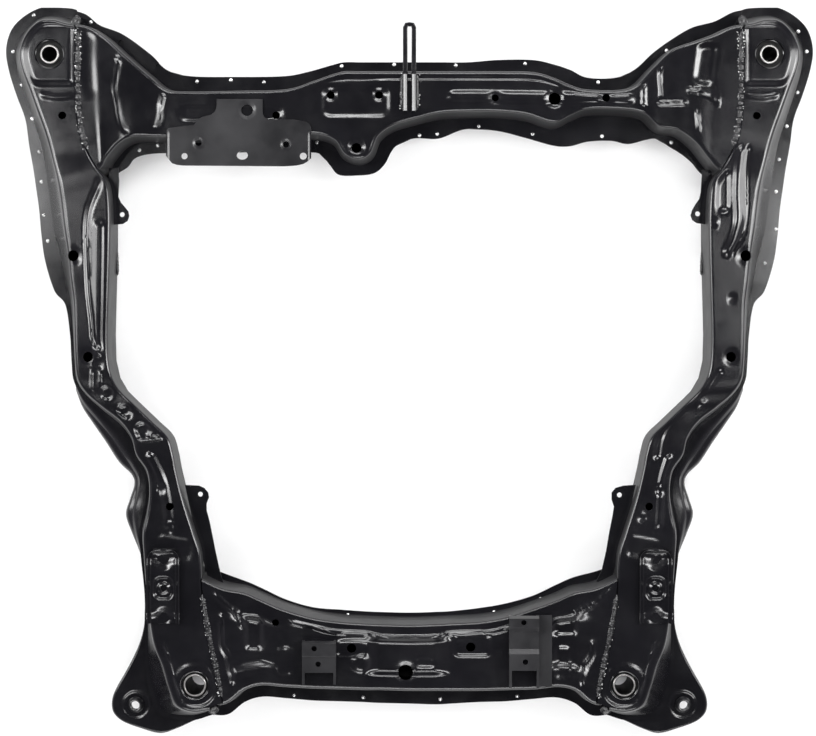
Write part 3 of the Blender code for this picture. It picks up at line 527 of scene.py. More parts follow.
FRONT_RELIEF = [
    (pad, (-230, 330), (66, 12), 10, -1.4, 6),
    (bead, [(-408, 430), (-409, 395), (-407, 358)], 22, -0.6),
    (bead, [(-371, 398), (-377, 362), (-374, 346), (-370, 320), (-362, 305)], 8, 1.2),
    (bead, [(-315, 353), (-318, 342), (-319, 326), (-323, 313)], 8, 2.0),
    (dimple, (-372, 399), 5, 1.4),
    (bead, [(-285, 308), (-200, 309), (-130, 311)], 5, -1.4),
    (bead, [(-112, 372), (-60, 376), (90, 376), (160, 375), (190, 368)], 7, -1.5),
    (pad, (-69, 345), (46, 22), 14, -1.6, 8), (dimple, (-68, 286), 13, -1.8),
    (dimple, (-101, 354), 10, -1.2), (dimple, (-39, 354), 10, -1.2), (dimple, (-171, 328), 9, -1.0),
    (bead, [(56, 352), (96, 352), (150, 351), (240, 350), (280, 349)], 20, 1.6),
    (dimple, (110, 350), 10, -1.2), (dimple, (186, 349), 14, -1.8), (dimple, (252, 350), 10, -1.2),
    (pad, (254, 329), (54, 5), 5, -2.6, 5),
    (bead, [(300, 365), (300, 342)], 9, 2.0), (bead, [(321, 388), (322, 352)], 5, 2.4),
    (bead, [(358, 358), (382, 353), (394, 345)], 8, 3.0), (pad, (336, 343), (20, 5), 5, -2.4, 5),
    (pad, (378, 392), (16, 30), 12, -2.6, 10, -8),
    (bead, [(367, 330), (369, 310)], 6, 2.0),
]
REAR_RELIEF = [
    (bead, [(-150, -320), (-118, -327), (-98, -332), (-58, -334), (-30, -339), (30, -339),
            (54, -334), (105, -332), (140, -322)], 8, 2.6),
    (pad, (-74, -354), (22, 13), 10, -1.8, 6), (dimple, (-62, -373), 15, 2.4),
    (pad, (80, -350), (26, 16), 9, 2.2, 6), (pad, (198, -327), (18, 12), 7, -3.2, 6),
    (pad, (-199, -335), (13, 24), 9, -3.4, 7), (dimple, (-5, -385), 16, -1.6),
    (bead, [(-240, -314), (-240, -348), (-232, -366), (-226, -396)], 9, -2.6),
    (bead, [(234, -348), (234, -362), (224, -378), (220, -397)], 9, -2.6),
    (bead, [(-247, -286), (-232, -300), (-220, -308), (-214, -325)], 9, 2.4),
    (bead, [(254, -278), (242, -292), (228, -300), (212, -308)], 9, 2.4),
    (pad, (20, -373), (14, 8), 6, 1.4, 5), (pad, (-160, -370), (12, 20), 8, -1.6, 6),
    (pad, (196, -372), (12, 22), 8, -1.6, 6),
]

# Holes: x, y and radius; those of a side member and the bushes' seats are on both sides
RAIL_HOLES = [(443, 326, 5.0), (429, 147, 7.0), (410, 18, 6.5), (306, -173, 5.0)]
FRONT_HOLES = [
    (-171, 328, 5.0), (-101, 354, 5.0), (-39, 354, 5.0), (-68, 286, 6.5),
    (110, 350, 4.5), (186, 349, 8.0), (252, 350, 5.0),
]
FLANGE_HOLES = [(-375, 426, 4.2), (-326, 396, 4.0)]
REAR_HOLES = [(-74, -354, 6.0), (78, -352, 6.0), (-5, -385, 9.5), (-171, -321, 4.5)]
BUSHES = {"front": (459.0, 404.0, 19.3), "rear": (274.0, -401.0, 18.8)}
# Radius of the shell, the sleeve and the bore, and the deck's height
BUSH_SIZES = {"front": (19.0, 12.0, 9.5, DECK_CORNER), "rear": (18.5, 14.3, 12.0, DECK_NECK)}
# Heights between which each kind of hole is cut, and the crossmembers' ends are trimmed
CUTS = {"deck": (70, 110), "seat": (60, 120), "flange": (40, 55), "bracket": (85, 115),
        "strip": (55, 70), "corner": (20, 60), "trim": (-20, 150)}

# Stabiliser plate: its place, half width, reach to the back and front, the radius of its front
# corners, the height of its seat and its holes
STAB_X, STAB_Y = 314.0, -277.0
STAB_HALF, STAB_BACK, STAB_FRONT = 21.0, 45.0, 50.0
STAB_ROUND, STAB_SEAT, STAB_SHEET = 15.0, 99.3, 2.6
STAB_HOLES = [(0, 35.5, 5.0), (0, 0, 4.0), (0, -35.5, 4.6)]

# The roll mount plate: height and sheet, front and rear outlines, and its holes with how far each
# is stretched in X
PLATE_TOP, PLATE_SHEET = 89.3, 2.8
PLATE_FRONT = [
    (-312, 306), (-309, 311), (-276, 315), (-272, 321), (-266, 325), (-254, 328), (-249, 332),
    (-247, 338), (-246.8, 348), (-188.2, 348), (-188, 330), (-186, 325), (-180, 322), (-148, 322),
    (-132, 319), (-128, 316), (-126, 312),
]
PLATE_REAR = [
    (-312, 276), (-309, 272), (-304, 266), (-298, 264), (-290, 263), (-160, 262), (-145, 263),
    (-136, 265), (-129, 269), (-126, 273),
]
PLATE_HOLES = [
    (-208, 334, 7.5, 1), (-270, 292, 4, 1), (-158, 290, 4, 1), (-288, 275, 4, 1),
    (-136, 275, 4.5, 1), (-214, 276, 5.5, 1.3),
]

# A rear corner plate's nut, heights, sheet and rim, and the skirt outside a side member's neck
CORNER_NUT = (356, -434)
CORNER_TOP, CORNER_FOOT, CORNER_SHEET = 42.0, 30.0, 3.0
CORNER_OUTLINE = [
    (345, -312), (346, -332), (351, -352), (359, -371), (370, -392), (381, -411), (387, -425),
    (388, -438), (384, -448), (373, -457), (352, -465), (325, -472), (304, -466), (284, -457),
    (268, -450),
]
SKIRT = [
    (436, -26), (428, -47), (415, -67), (397, -93), (380, -119), (364, -135), (360, -148),
    (366, -168), (371, -188), (363, -212), (351, -241),
]

# Strips on the inner walls: height, sheet and radius of the hole, then the CAD node, the outline
# in plan and the hole's place for each
TAB_Z, TAB_SHEET, TAB_HOLE = 62.0, 2.5, 3.2
HOSE_STRIPS = [
    ("hose_tab_front_left",
     [(-388, 262), (-376, 262), (-375, 245), (-376, 225), (-373, 218), (-367, 211), (-363, 206),
      (-362, 200), (-364, 194), (-370, 190), (-392, 188)], (-371, 202)),
    ("hose_tab_front_right",
     [(392, 188), (371, 191), (365, 195), (363, 201), (365, 208), (369, 215), (374, 222),
      (376, 230), (377, 245), (378, 260), (390, 260)], (372, 203)),
    ("hose_tab_rear_left",
     [(-290, -147), (-272, -148), (-265, -151), (-260, -157), (-259, -163), (-262, -171),
      (-262, -180), (-258, -195), (-254, -215), (-250, -235), (-244, -262), (-240, -274),
      (-258, -274), (-276, -210), (-284, -175)], (-270, -159)),
    ("hose_tab_rear_right",
     [(260, -272), (241, -272), (248, -258), (254, -232), (258, -208), (262, -188),
      (264, -175), (261, -166), (261, -157), (266, -151), (276, -148), (292, -147), (286, -175),
      (278, -210)], (271, -160)),
]

# Spot welds on the flanges
SPOTS = [
    (-488, 462), (-432, 460), (-414, 453), (-515, 415), (-504, 372), (-490, 328), (-481, 285),
    (-478, 246), (-475, 203), (-470, 169), (-276, 376), (-232, 378), (-189, 375), (-88, 396),
    (-20, 398), (60, 397), (150, 399), (245, 375), (505, 441), (516, 415), (504, 362),
    (490, 318), (480, 275), (476, 233), (476, 184), (462, 140), (334, 416), (-351, 287),
    (-327, 293), (-120, 297), (13, 306), (36, 308), (90, 318), (160, 308), (250, 305),
    (340, 297), (-150, -305), (-80, -317), (20, -322), (110, -313), (170, -296),
    (-150, -421), (-60, -424), (40, -426), (140, -422),
]

# Welds up the ends of the seams: name, route on the right and width
END_WELDS = [
    ("front_end", [(431, 460, 48), (430.4, 454, 60), (429, 447, 80), (427, 441, 97)], 10.0),
    ("rear_end", [(254, -446, 48), (254.5, -439, 56), (253.5, -433, 78), (250, -428.5, 95)], 12.0),
]

# Lamps, all aimed at the middle of the floor: place and size in metres, and power in watts
LAMPS = {
    "lamp_left": ((-2.2, 0.5, 1.5), (0.9, 2.2), 48),
    "lamp_right": ((2.2, 0.5, 1.5), (0.9, 2.2), 48),
    "lamp_front": ((0.0, 2.4, 1.4), (2.4, 0.7), 42),
    "lamp_back": ((0.0, -2.4, 1.4), (2.4, 0.7), 36),
    "lamp_high_left": ((-1.5, 0.6, 2.4), (0.35, 1.3), 22),
    "lamp_high_right": ((1.5, 0.4, 2.4), (0.35, 1.3), 22),
    "lamp_high_front": ((0.2, 1.7, 2.4), (1.3, 0.35), 22),
    "lamp_high_back": ((0.0, -1.7, 2.4), (1.3, 0.35), 22),
}
# The camera's place over the floor, its sensor in millimetres and the shells' joint in metres
CAMERA_XY = (-0.00195, 0.0039)
SENSOR = 36.0
JOINT_HEIGHT = 0.045
FLOOR_SIZE, FLOOR_DROP = 14.0, 0.0005


def mirrored(features, side):
    """Features of a side member placed on the given side of the car."""
    turned = []
    for shape, at, *sizes in features:
        if isinstance(at, list):
            turned.append((shape, [(side * x, y) for x, y in at], *sizes))
        else:
            tilt = [*sizes[:4], side * sizes[4]] if len(sizes) == 5 else sizes
            turned.append((shape, (side * at[0], at[1]), *tilt))
    return turned


def dressed(piece, finish="gloss_black_paint", nodes=()):
    """Ride a piece on the body and finish, and let it stand for its nodes."""
    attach(piece, BODY)
    if nodes:
        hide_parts(*nodes)
    piece.data.materials.clear()
    piece.data.materials.append(bpy.data.materials[finish])
    return piece


def side_member(side, word, settings):
    """Upper shell of a side member, with its pressings and holes."""
    lines, deck = rail_lines(side, settings.steps_along)
    own = RAIL_LEFT if side < 0 else RAIL_RIGHT
    relief = relief_of(mirrored(RAIL_BOTH + own, side))
    piece = closed_sheet(f"side_member_shell_{word}", shell_grid(lines, deck, True, relief))
    cutters = drills(RAIL_HOLES, "deck", side) + drills(BUSHES.values(), "seat", side, 64)
    return dressed(punch(piece, cutters), nodes=[f"side_member_upper_{word}"])


def crossmember(name, table, relief, holes, notches, settings):
    """Upper shell of a crossmember, trimmed where it butts on the side members."""
    lines, deck = cross_lines(table, settings.steps_along)
    piece = closed_sheet(f"{name}_shell", shell_grid(lines, deck, False, relief, 40))
    cutters = [column_cutter(rail_outline(side), *CUTS["trim"]) for side, _ in SIDES]
    cutters += drills(holes, "deck") + drills(notches, "flange")
    return dressed(punch(piece, cutters), nodes=[f"{name}_upper"])


def rear_trough():
    """Relief of the rear deck: its listed pressings, less the trough along its middle, which has
    its full depth up to a fifth of the deck's width from the middle and none from three tenths."""
    own = relief_of(REAR_RELIEF)
    table = np.array(REAR_CROSS)
    centre = (table[:, 0] + table[:, 4]) / 2
    order = np.argsort(centre)

    def height(x, y):
        depth, near, far = (np.interp(x, centre[order], line[order])
                            for line in (TROUGH, table[:, 1], table[:, 5]))
        share = (y - near) / (far - near)
        return own(x, y) - depth * rise((0.3 - np.abs(share - 0.5)) / 0.1)
    return height


def bead_of_weld(name, route, width, height):
    """A weld bead: a low hump carried along a route, its width and height rippling with the
    distance along it, as the arc's steps leave it."""
    points = smooth_rows(route, 24)
    steps = np.linalg.norm(np.diff(points, axis=0), axis=1)
    far = np.concatenate([[0], np.cumsum(steps)])
    even = np.linspace(0, far[-1], max(int(far[-1] / 1.1), 8))
    path = sampled(points, far, even)
    along = unit(np.gradient(path, axis=0))
    up = np.tile([0.0, 0.0, 1.0], (len(path), 1))
    across = unit(np.cross(along, up))
    up = np.cross(across, along)
    # Three waves of unlike length, so that no two ripples are the same
    swell = 1 + 0.13 * np.sin(2 * np.pi * even / RIPPLE) + 0.12 * np.sin(even / 7.3 + width)
    swell += 0.14 * np.sin(even * 1.7 + 2.0 * np.sin(even / 5.1)) * np.sin(even / 3.7)
    taper = np.sqrt(np.clip(np.minimum(even, far[-1] - even) / width, 0.05, 1))
    turn = np.linspace(0, 2 * np.pi, 12, endpoint=False)
    section = np.stack([np.cos(turn) * width / 2, np.sin(turn) * height], axis=1)
    section = section[None] * (swell * taper)[:, None, None]
    points, quads = profile_tube(path, across, up, section)
    return dressed(put_mesh(name, inside_the_box(points), quads, 60), finish="painted_weld")


def turned_piece(name, at, section, shade_marks=None):
    """A closed section of (radius, height) points turned about a vertical axis at a place. Shade
    marks give each point of the section its value in the attribute named bore, which paints shade
    in a sleeve's bore."""
    section = np.asarray(section, dtype=float)
    steps = 72
    turn = np.linspace(0, 2 * np.pi, steps, endpoint=False)[:, None]
    points = np.stack([at[0] + np.cos(turn) * section[:, 0], at[1] + np.sin(turn) * section[:, 0],
                       np.repeat(section[None, :, 1], steps, axis=0)], axis=2).reshape(-1, 3)
    index = np.arange(len(points)).reshape(steps, len(section))
    piece = put_mesh(name, points, grid_quads(np.pad(index, ((0, 1), (0, 1)), mode="wrap")))
    if shade_marks is not None:
        values = piece.data.attributes.new("bore", "FLOAT", "POINT")
        values.data.foreach_set("value", np.tile(np.asarray(shade_marks, dtype=float), steps))
    return piece


def bush_pieces(place, side, word):
    """One mounting bush: a painted outer sleeve with a rolled rim, a moulded rubber with a groove
    at each end, and a bare inner sleeve with chamfers, near black inside its bore as painted shade."""
    x, y, _ = BUSHES[place]
    radius, sleeve, bore, deck = BUSH_SIZES[place]
    at = (side * x, y)
    stem = f"bush_{place}_{word}"
    top, foot = deck + 0.8, 12.0
    wall = radius - SLEEVE_WALL
    outer = [(wall, foot), (radius, foot), (radius, top - 1.2), (radius - 0.3, top - 0.3),
             (radius - 0.9, top), (radius - 1.5, top - 0.3), (wall, top - 1.2)]
    dressed(turned_piece(f"{stem}_shell", at, outer), nodes=[f"{stem}_outer_sleeve"])
    inner = [(bore + 0.7, 10), (sleeve - 0.7, 10), (sleeve, 10.7), (sleeve, deck + 1.3),
             (sleeve - 0.7, deck + 2), (bore + 0.5, deck + 2), (bore, deck + 1.5), (bore, 10.7)]
    # The bore's points carry 1, where the sleeve's material paints shade
    shade_marks = [0, 0, 0, 0, 0, 0, 1, 1]
    dressed(turned_piece(f"{stem}_core", at, inner, shade_marks), "sleeve_steel",
            [f"{stem}_inner_sleeve"])
    near, far = sleeve + GAP, wall - GAP
    share = np.linspace(0, 1, 9)
    wave = np.sin(np.pi * share) ** 0.7
    rubber = [(near + (far - near) * s, 13.5 + 3 * w) for s, w in zip(share, wave)]
    rubber += [(near + (far - near) * s, top - 1.5 - 4.5 * w) for s, w in zip(share[::-1], wave)]
    dressed(turned_piece(f"{stem}_moulding", at, rubber), "bush_rubber",
            [f"{stem}_rubber"])


def stabiliser_plate(side, word):
    """Folded bracket on a rear corner: a plate with a round front end, upturned sides, an oval
    dish round its middle hole and a hole near each end."""
    along = np.linspace(-STAB_BACK, STAB_FRONT, 90)
    width = STAB_HALF - np.minimum(rolled(STAB_FRONT - along, STAB_ROUND), STAB_ROUND - 2.0)
    u = np.sin(np.linspace(-np.pi / 2, np.pi / 2, 44)) * width[:, None]
    v = np.repeat(along[:, None], 44, axis=1)
    side_edge = rise((np.abs(u) - width[:, None] + 5.5) / 5.0)
    z = STAB_SEAT + 6.5 * np.maximum(side_edge, rise((v - STAB_FRONT + 6.0) / 5.0))
    z += pad(u, v, (0, 0), (14, 16), 11, -3.6, 5) + dimple(u, v, (0, 0), 10, 2.6, 0.4)
    z += dimple(u, v, (0, 35), 15, -2.6, 0.2) + dimple(u, v, (0, -35), 14, -2.4, 0.2)
    z -= 2.4 * rise((np.abs(v) - 29.0) / 12.0)
    piece = closed_sheet(f"stabiliser_plate_{word}",
                         np.dstack([side * STAB_X + u, STAB_Y + v, z]), thickness=STAB_SHEET)
    holes = [(side * STAB_X + a, STAB_Y + b, r) for a, b, r in STAB_HOLES]
    return dressed(punch(piece, drills(holes, "bracket")), nodes=[f"stabiliser_bracket_{word}"])


def hose_strip(name, outline, hole):
    """Narrow strip along a side member's inner wall with an ear at one end: its outline in plan
    between two heights, with the hose clip's hole in the ear."""
    body = column_cutter(outline, TAB_Z, TAB_Z + TAB_SHEET)
    body.name = body.data.name = name.replace("tab", "strip")
    return dressed(punch(body, drills([(*hole, TAB_HOLE)], "strip")), nodes=[name])


def roll_plate():
    """Flat plate for the engine's roll mount: its front and rear outlines joined by a grid, with
    both ends turned down where they stand clear of the crossmember."""
    far_x, far_y = np.array(PLATE_FRONT, dtype=float).T
    near_x, near_y = np.array(PLATE_REAR, dtype=float).T
    left, right = far_x[[0, -1]]
    x = np.unique(np.concatenate([np.arange(left, right + 1), far_x]))
    share = np.linspace(0, 1, 40)
    front = np.interp(x, far_x, far_y)
    rear = np.interp(x, near_x, near_y)
    y = rear[:, None] + (front - rear)[:, None] * share
    x = np.repeat(x[:, None], 40, axis=1)
    drop = rolled(np.minimum(x - left, right - x), ROLL) * rise((309 - y) / 8.0)
    z = PLATE_TOP - drop + dimple(x, y, (-208, 334), 13, -0.9) + dimple(x, y, (-270, 292), 8, 0.8)
    z = z + dimple(x, y, (-158, 290), 8, 0.8)
    piece = closed_sheet("roll_plate", np.dstack([x, y, z]), thickness=PLATE_SHEET)
    cutters = [column_cutter(round_outline(a, b, r, 36, stretch), *CUTS["deck"])
               for a, b, r, stretch in PLATE_HOLES]
    return dressed(punch(piece, cutters), finish="satin_black_paint", nodes=["roll_mount_plate"])


def corner_plate(side, word):
    """Triangular plate under a rear corner: a grid from the platform's foot out to a rounded
    rim that turns down a quarter round, with a shallow dish and a weld nut at its hole."""
    rim = smooth_rows(CORNER_OUTLINE, 8)
    (_, foot, _, inner, _, _), _ = rail_lines(1, 12)
    foot, inner = (line[PLATFORM_ROW * 12:] for line in (foot, inner))
    root = foot - plan_normals(foot, inner) * GAP
    root = sampled(root, np.arange(len(root)), np.linspace(0, len(root) - 1, len(rim)))
    share = np.linspace(0, 1, 46)
    plan = root[:, None] + (rim - root)[:, None] * share[None, :, None]
    reach = np.linalg.norm(rim - root, axis=1)[:, None] * (1 - share)[None, :]
    z = CORNER_TOP - rolled(reach, ROLL)
    z += dimple(plan[..., 0], plan[..., 1], CORNER_NUT, 19, -1.2, 0.8)
    lip = np.c_[rim, np.full(len(rim), CORNER_FOOT)]
    rows = np.concatenate([np.dstack([plan, z]), lip[:, None]], axis=1)
    rows[..., 0] *= side
    piece = closed_sheet(f"corner_plate_{word}", rows, thickness=CORNER_SHEET)
    cutters = drills([(*CORNER_NUT, 6.0)], "corner", side)
    dressed(punch(piece, cutters), nodes=[f"rear_corner_plate_{word}"])
    section = [(6.0, 42.3), (10.5, 42.3), (10.5, 43.5), (8.6, 47.5), (7.4, 49.3), (6.2, 49.1),
               (5.4, 48.2)]
    at = (side * CORNER_NUT[0], CORNER_NUT[1])
    dressed(turned_piece(f"corner_weld_nut_{word}", at, section),
            finish="satin_black_paint", nodes=[f"corner_nut_{word}"])


def skirt(side, word):
    """Reinforcement outside a side member's neck: from under the flange it slopes out, steps
    over a ledge and turns down to its foot."""
    out = smooth_rows(SKIRT, 8)
    (_, foot, edge, _, _, _), _ = rail_lines(1, 8)
    under = ((foot + edge) / 2)[SKIRT_ROWS[0] * 8:SKIRT_ROWS[1] * 8 + 1]
    steps = [(0.0, 42.0), (0.3, 41.2), (0.5, 39.5), (0.62, 35.0), (0.7, 33.6), (0.8, 32.4),
             (0.92, 30.5), (1.0, 26.0), (0.98, 20.0), (0.9, 8.0)]
    rows = np.stack([np.c_[under + (out - under) * s, np.full(len(out), z)] for s, z in steps],
                    axis=1)
    rows[..., 0] *= side
    piece = closed_sheet(f"skirt_{word}", rows)
    dressed(piece, nodes=[f"side_member_skirt_{word}"])


def domes(name, centres, sizes, rings):
    """Many small turned bumps in one mesh: a profile of (radius, height) rings, scaled for each
    bump and set at its centre."""
    turn = np.linspace(0, 2 * np.pi, 16, endpoint=False)
    shape = np.stack([np.c_[r * np.cos(turn), r * np.sin(turn), np.full(16, z)] for r, z in rings])
    points = centres[:, None, None] + shape[None] * np.asarray(sizes)[:, None, None, None]
    index = np.arange(points[..., 0].size).reshape(len(centres), len(rings), 16)
    index = np.concatenate([index, index[..., :1]], axis=2)
    quads = np.concatenate([grid_quads(one) for one in index])
    # The bumps take the light steel of the painted glint
    dressed(put_mesh(name, inside_the_box(points.reshape(-1, 3)), quads), finish="weld_painted_glint")


def spot_welds():
    """Spot welds along the flanges: shallow domes standing on the flanges' top."""
    spots = np.c_[np.array(SPOTS, dtype=float), np.full(len(SPOTS), FLANGE_TOP)]
    rings = [(2.5, -0.05), (2.3, 0.35), (1.7, 0.8), (0.9, 1.1), (0.02, 1.2)]
    domes("spot_welds", spots, np.ones(len(spots)), rings)


def spatter(routes):
    """Weld spatter: small beads scattered a few millimetres to each side of the seams, one for
    each SPATTER_STEP of a seam's length."""
    scatter = np.random.default_rng(7)
    centres = []
    for name, route, width, _ in routes:
        lift = 2.2 if "front_seam" in name else 0.4
        line = smooth_rows(route, 12)
        count = int(np.linalg.norm(np.diff(line, axis=0), axis=1).sum() / SPATTER_STEP)
        picked = line[scatter.integers(0, len(line), count)]
        offset = scatter.normal(0.0, 0.9, (count, 2))
        offset[:, 0] += np.sign(scatter.normal(size=count)) * width * 0.42
        centres.append(np.c_[picked[:, :2] + offset, picked[:, 2] + lift])
    centres = np.concatenate(centres)
    sizes = scatter.uniform(0.3, 0.9, len(centres))
    rings = [(1.0, -1.6), (1.0, 0.1), (0.8, 0.6), (0.45, 0.9), (0.02, 1.0)]
    domes("weld_spatter", centres, sizes, rings)


def weld_routes():
    """The cradle's weld beads: name, route, width and height of each."""
    routes = []
    for side, word in SIDES:
        (_, _, _, inner, _, _), _ = rail_lines(side, 1)
        for name, line, z, height in (("front_seam", inner[1:12], DECK_CORNER - 2.0, 3.2),
                                      ("rear_seam", inner[PLATFORM_ROW:-1], 95.5, 3.4)):
            routes.append((f"weld_{name}_{word}", [(x, y, z) for x, y in line], 8.0, height))
        for name, line, width in END_WELDS:
            routes.append((f"weld_{name}_{word}", [(side * x, y, z) for x, y, z in line],
                           width, 5.0))
        (x0, y0), (x1, y1) = inner[13], inner[15]
        routes.append((f"weld_inner_wall_{word}",
                       [(x0 - side * 0.6, y0 - 24, 30), (x1 - side * 0.6, y1 - 40, 30)], 4.0, 2.4))
    for side, word in SIDES:
        routes.append((f"weld_hook_{word}",
                       [(side * 9.0, y, 86.6) for y in (334, 350, 366, 380)], 6.0, 2.2))
    return routes


def feed(node, inputs):
    """Link each input of a node that is given a socket, and set each other one to its value."""
    for name, value in inputs.items():
        if isinstance(value, bpy.types.NodeSocket):
            node.id_data.links.new(value, node.inputs[name])
        else:
            node.inputs[name].default_value = value


def add_node(tree, kind, inputs=None, **settings):
    """A new shader node with its settings and inputs."""
    node = tree.nodes.new("ShaderNode" + kind)
    for name, value in settings.items():
        setattr(node, name, value)
    feed(node, inputs or {})
    return node


def arithmetic(operation, *values):
    """One step of arithmetic on a socket and on what follows it."""
    inputs = dict(enumerate(values))
    return add_node(values[0].id_data, "Math", inputs, operation=operation).outputs["Value"]


def material_nodes(name, colour, roughness, metallic=0.0):
    """A new node material, its shader and its Object coordinates."""
    made = bpy.data.materials.new(name)
    made.use_nodes = True
    shader = made.node_tree.nodes["Principled BSDF"]
    feed(shader, {"Base Color": (*colour, 1.0), "Roughness": roughness, "Metallic": metallic})
    return made, shader, add_node(made.node_tree, "TexCoord").outputs["Object"]


def noise(place, scale, detail=2.0, rough=0.5):
    """A noise pattern over the piece; scale is in cells to the metre."""
    inputs = {"Vector": place, "Scale": scale, "Detail": detail, "Roughness": rough}
    return add_node(place.id_data, "TexNoise", inputs).outputs["Fac"]


def spread(value, low, high, start=0.0, end=1.0):
    """A value from the start to end range carried to the low to high range."""
    inputs = {"Value": value, "From Min": start, "From Max": end, "To Min": low, "To Max": high}
    return add_node(value.id_data, "MapRange", inputs).outputs["Result"]


def ramp(value, first, second, start=0.35, end=0.65):
    """A colour that runs from a first to a second one as the value grows."""
    node = add_node(value.id_data, "ValToRGB", {"Fac": value})
    stops = node.color_ramp.elements
    stops[0].position, stops[0].color = start, (*first, 1.0)
    stops[1].position, stops[1].color = end, (*second, 1.0)
    return node.outputs["Color"]


def bump(shader, *layers):
    """Bump layers on a shader: each a height, its strength and its depth in metres."""
    normal = {}
    for height, strength, depth in layers:
        inputs = {"Height": height, "Strength": strength, "Distance": depth, **normal}
        normal = {"Normal": add_node(shader.id_data, "Bump", inputs).outputs["Normal"]}
    feed(shader, normal)


def gloss_black_paint(settings):
    """Dipped black paint on pressed steel: it follows the sheet's slight waves and has a fine
    peel, handling has dulled it in patches, and it lies drier on the upright walls."""
    rough = settings.paint_roughness
    made, shader, place = material_nodes("gloss_black_paint", settings.paint, rough)
    split = add_node(made.node_tree, "SeparateXYZ", {"Vector": place.node.outputs["Normal"]})
    level = arithmetic("ABSOLUTE", split.outputs["Z"])
    patches = spread(noise(place, 26.0, 4.0, 0.6), rough * 0.75, rough * 1.5, 0.3, 0.7)
    dusty = [c * 1.6 + 0.001 for c in settings.paint]
    feed(shader, {"Roughness": arithmetic("ADD", patches, spread(level, 0.5, 0.0, 0.12, 0.4)),
                  "Base Color": ramp(noise(place, 9.0, 5.0, 0.65), settings.paint, dusty,
                                     0.45, 0.8),
                  "IOR": 1.5, "Coat Weight": 0.12, "Coat Roughness": 0.1})
    bump(shader, (noise(place, 14.0), 0.25, 0.0014), (noise(place, 90.0), 0.03, 0.0003),
         (noise(place, 1300.0, 1.0), 0.02, 0.0001))
    return made


def satin_black_paint(settings):
    """The paint on flat brackets: a little duller and greyer, with a fine grain."""
    made, shader, place = material_nodes("satin_black_paint", settings.paint, 0.34)
    cloud = noise(place, 14.0, 4.0, 0.6)
    grey = [c * 1.7 + 0.006 for c in settings.paint]
    feed(shader, {"Base Color": ramp(cloud, settings.paint, grey, 0.35, 0.75),
                  "Roughness": spread(cloud, 0.28, 0.42, 0.3, 0.7),
                  "Coat Weight": 0.3, "Coat Roughness": 0.12})
    bump(shader, (noise(place, 30.0), 0.3, 0.0008), (noise(place, 900.0), 0.08, 0.0001))
    return made


def painted_weld(settings):
    """The same paint over a weld bead, rougher and pitted."""
    made, shader, place = material_nodes("painted_weld", settings.paint,
                                         settings.paint_roughness * 1.4)
    feed(shader, {"Roughness": spread(noise(place, 300.0, 3.0), 0.22, 0.5, 0.3, 0.7),
                  "Coat Weight": 0.3, "Coat Roughness": 0.15})
    bump(shader, (noise(place, 420.0, 3.0), 0.5, 0.0005))
    return made


def weld_painted_glint():
    """Spot welds and spatter in light bare steel: the light colour is a painted glint, standing in
    for the bright specks that the black painted welds catch.
    """
    made, shader, place = material_nodes("weld_painted_glint", (0.6, 0.6, 0.59), 0.3, 0.8)
    glint_mottle = noise(place, 120.0)
    # Painted glint: the colour runs up to light steel over much of each bump
    feed(shader, {"Base Color": ramp(glint_mottle, (0.3, 0.3, 0.3), (0.85, 0.85, 0.84), 0.4, 0.6),
                  "Roughness": spread(glint_mottle, 0.2, 0.4, 0.3, 0.7)})
    return made


def sleeve_steel(settings):
    """Turned steel of a bush sleeve under a thin film of oil, near black where the bore is marked:
    painted shade in the bore.
    """
    made, shader, place = material_nodes("sleeve_steel", settings.steel, 0.3, 1.0)
    bore = add_node(made.node_tree, "Attribute", attribute_name="bore").outputs["Fac"]
    film = ramp(noise(place, 70.0, 4.0), settings.steel, [c * 0.7 for c in settings.steel])
    # Painted shade: where the bore is marked the colour is mixed to near black
    mix = add_node(made.node_tree, "Mix", {"Factor": bore, "A": film,
                                           "B": (0.012, 0.012, 0.012, 1.0)}, data_type="RGBA")
    feed(shader, {"Base Color": mix.outputs["Result"], "Roughness": spread(bore, 0.32, 0.6)})
    bump(shader, (noise(place, 1600.0, 1.0), 0.1, 0.0001))
    return made


def bush_rubber(settings):
    """Moulded rubber: dull black with a fine grain and a dusting of bloom."""
    made, shader, place = material_nodes("bush_rubber", settings.rubber, 0.7)
    bloom = [c * 1.9 for c in settings.rubber]
    feed(shader, {"Base Color": ramp(noise(place, 120.0, 4.0), settings.rubber, bloom),
                  "Roughness": spread(noise(place, 200.0), 0.6, 0.85)})
    bump(shader, (noise(place, 900.0), 0.3, 0.0002))
    return made


def stage_floor(settings):
    """Pale paper under the object, white to the camera and to what mirrors it, with the shadow.
    Right under the object it stays in shade, so that the bores look deep."""
    made, shader, place = material_nodes("studio_paper", (0.93, 0.93, 0.93), 0.9)
    tree = made.node_tree
    feed(shader, {"Base Color": ramp(noise(place, 40.0, 3.0), [0.92] * 3, [0.95] * 3),
                  "Specular IOR Level": 0.1})
    path = add_node(tree, "LightPath").outputs
    seen = arithmetic("MAXIMUM", path["Is Camera Ray"], path["Is Glossy Ray"])
    shade = add_node(tree, "AmbientOcclusion", {"Distance": 0.12}, samples=12)
    share = arithmetic("MULTIPLY", arithmetic("MULTIPLY", seen, settings.floor_glow),
                       spread(shade.outputs["AO"], 0.0, 1.0, 0.25, 0.55))
    glow = add_node(tree, "Emission", {"Color": (1.0, 1.0, 1.0, 1.0), "Strength": 1.0})
    mix = add_node(tree, "MixShader", {"Fac": share, 1: shader.outputs["BSDF"],
                                       2: glow.outputs["Emission"]})
    feed(tree.nodes["Material Output"], {"Surface": mix.outputs["Shader"]})
    return made


